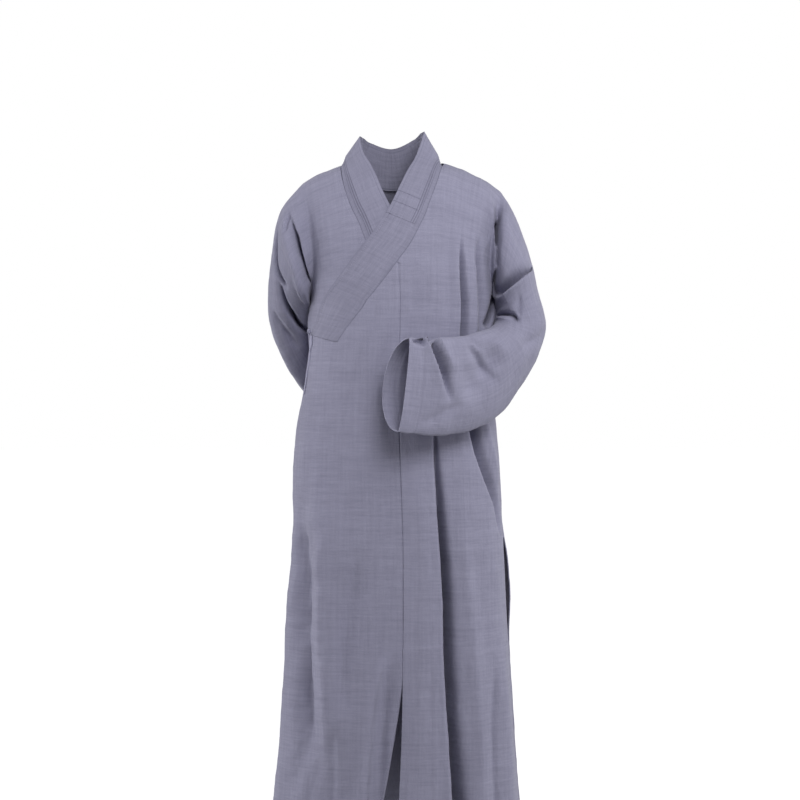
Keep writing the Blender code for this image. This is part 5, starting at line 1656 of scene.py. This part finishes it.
def linen(name, tint=1.0, lines=()):
    """Slubbed linen. lines are painted shade across the second measure of the cloth, along seams:
    where each is, how wide, and how dark its painted shade is."""
    material, shader, start = new_material(name)
    cloth = start.node("ShaderNodeUVMap", {"uv_map": "weave"})

    def noise(across, along, seed, detail=2.0):
        return streaks(start, cloth, across, along, seed, detail) - 0.5

    # Each noise has its number of waves per metre across and along the weave, and a seed.
    bands = noise(4.0, 62.0, 3.1)
    slubs = noise(14.0, 210.0, 7.7)
    fine_slubs = noise(45.0, 620.0, 9.3)
    warp = noise(190.0, 9.0, 12.4)
    mottle = noise(9.0, 6.0, 21.0)
    grain = noise(850.0, 850.0, 5.2, 1.0)
    shade = (bands * 0.30 + slubs * 0.42 + fine_slubs * 0.40 + warp * 0.34
             + mottle * 0.20 + grain * 0.60 + 0.5)
    across = start.node("ShaderNodeSeparateXYZ", None, {0: cloth}, output=1)
    # Painted shade: each line darkens the linen's colour where shadow falls along a seam or beside
    # a guard's edge.
    for at, width, depth in lines:
        away = start.node("ShaderNodeMath", {"operation": "ABSOLUTE"}, {0: across - at})
        shade = shade - start.node("ShaderNodeMapRange", None, {0: away, 1: 0.0, 2: width,
                                                                 3: depth, 4: 0.0})
    colour = blend(start, shade, (LINEN_DARK, tint), (LINEN_LIGHT, tint))
    crinkle = noise(120.0, 45.0, 31.0, 3.0)
    height = (crinkle * 0.8 + slubs * 0.26 + bands * 0.30 + warp * 0.34
              + fine_slubs * 0.10 + grain * 0.10)
    bump = start.node("ShaderNodeBump", None, {
        "Height": height, "Distance": BUMP_DISTANCE, "Strength": BUMP_STRENGTH})
    finish_shader(material, shader, colour, bump, LINEN_FINISH)
    return material


print("light linen:", LINEN_LIGHT, "dark linen:", LINEN_DARK)

# %% [markdown]
# The thread is spun of fibres, which at this size show only as a grain of lighter and darker
# specks. Shade is painted into the collar's linen along its seams, and into the guards' below
# the edge of each layer: painted shade lines, darker where shadow falls.

# %% Thread and finishes
THREAD_GRAIN, THREAD_BUMP, THREAD_ROUGHNESS = 1400.0, 0.0002, 0.7
THREAD_DARK, THREAD_LIGHT, THREAD_TINT = 0.8, 1.15, 1.05


def thread(name):
    material, shader, start = new_material(name)
    place_on = start.node("ShaderNodeTexCoord", output=3)
    grain = start.node("ShaderNodeTexNoise", None, {"Vector": place_on, "Scale": THREAD_GRAIN})
    colour = blend(start, grain, (LINEN_LIGHT, THREAD_TINT * THREAD_DARK),
                   (LINEN_LIGHT, THREAD_TINT * THREAD_LIGHT))
    bump = start.node("ShaderNodeBump", None, {"Height": grain, "Distance": THREAD_BUMP})
    finish_shader(material, shader, colour, bump, {"Roughness": THREAD_ROUGHNESS})
    return material


# Painted shade lines: where each is across the band, how wide and how dark. On the band they paint
# shade into its seam, its top-stitching and its neck edge; on the guards, also the shadow below
# each layer's edge.
SEAM_SHADE_LINES = ((0.0, 0.0016, 0.9), (TOP_STITCH * BAND_WIDTH, 0.0011, 0.45),
              (BAND_WIDTH, 0.0010, 0.5))
GUARD_SHADOW_LINES = SEAM_SHADE_LINES[1:] + tuple(
    (guard.starts_at * BAND_WIDTH, 0.0015, 1.0) for guard in GUARDS)
FINISHES = {
    "robe_cloth": linen("robe linen"),
    # The collar's and the guards' linen is the robe's own, darkened by 0.92 as painted shade.
    "collar_cloth": linen("collar linen with painted shade", 0.92, lines=SEAM_SHADE_LINES),
    "guard_cloth": linen("guard linen with painted shadow", 0.92, lines=GUARD_SHADOW_LINES),
    # The tie's linen is the robe's own, lightened by 1.2 as a painted highlight on the knot, the
    # leaf and the strand.
    "tie_cloth": linen("tie linen with painted highlight", 1.2),
}
THREADS = {slot: thread(slot.replace("cloth", "thread")) for slot in FINISHES}
print("finishes:", len(FINISHES))

# %% [markdown]
# ## Handing the pieces to the frame
#
# Each piece of cloth stands for its solids and takes their slot. The table also gives the flat
# size each sheet was cut to, its area and how it is held.

# %% Slots and sheets
Sheet = namedtuple("Sheet", "slot nodes flat area held")
SHEETS = {
    "front_left": Sheet("robe_cloth", ("front_left_upper", "front_left_lower"),
                        (0.50, 1.40), 0.52, "hung"),
    "front_overlap": Sheet("robe_cloth", ("front_overlap",), (0.39, 1.20), 0.35, "hung"),
    "front_under": Sheet("robe_cloth", ("front_under_upper", "front_under_lower"),
                         (0.46, 1.40), 0.30, "hung"),
    "back": Sheet("robe_cloth", ("back_upper", "back_lower"), (0.74, 1.42), 0.79, "hung"),
    "sleeve_left": Sheet("robe_cloth", ("sleeve_left_upper", "sleeve_left_lower"),
                         (0.54, 0.56), 0.245, "hung"),
    "sleeve_right": Sheet("robe_cloth", ("sleeve_right_upper", "sleeve_right_lower"),
                          (0.50, 0.54), 0.20, "hung"),
    "collar_band": Sheet("collar_cloth", ("collar_band",), (0.080, 1.10), 0.087, "folded"),
    "guard_low": Sheet("guard_cloth", ("guard_low",), (0.068, 0.68), 0.043, "folded"),
    "guard_middle": Sheet("guard_cloth", ("guard_middle",), (0.063, 0.65), 0.038, "folded"),
    "guard_top": Sheet("guard_cloth", ("guard_top",), (0.058, 0.63), 0.034, "folded"),
    "tie_leaf": Sheet("tie_cloth", ("tie_leaf",), (0.011, 0.032), 0.0003, "hung"),
    "tie_strand": Sheet("tie_cloth", ("tie_strand",), (0.010, 0.090), 0.0005, "folded"),
}


def hand_over(piece, finish):
    piece.data.materials.append(finish)
    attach(piece, "root")


for name, sheet in SHEETS.items():
    hand_over(pieces[name], FINISHES[sheet.slot])
    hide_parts(*sheet.nodes)
    sewn = [threads[name]] if name in threads else []
    for work in sewn:
        hand_over(work, THREADS[sheet.slot])
hand_over(pieces["tie_knot"], FINISHES["tie_cloth"])
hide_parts("tie_knot")
print("dressed:", len(SHEETS))

# %% [markdown]
# The last cell compares the dressed robe's box with the solids' box.

# %% Sizes and finish
low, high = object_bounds()
for label, grown in (("low", cad_low - low), ("high", high - cad_high)):
    print("past the solids at the", label, "side, in mm:", [round(v * 1000, 1) for v in grown])
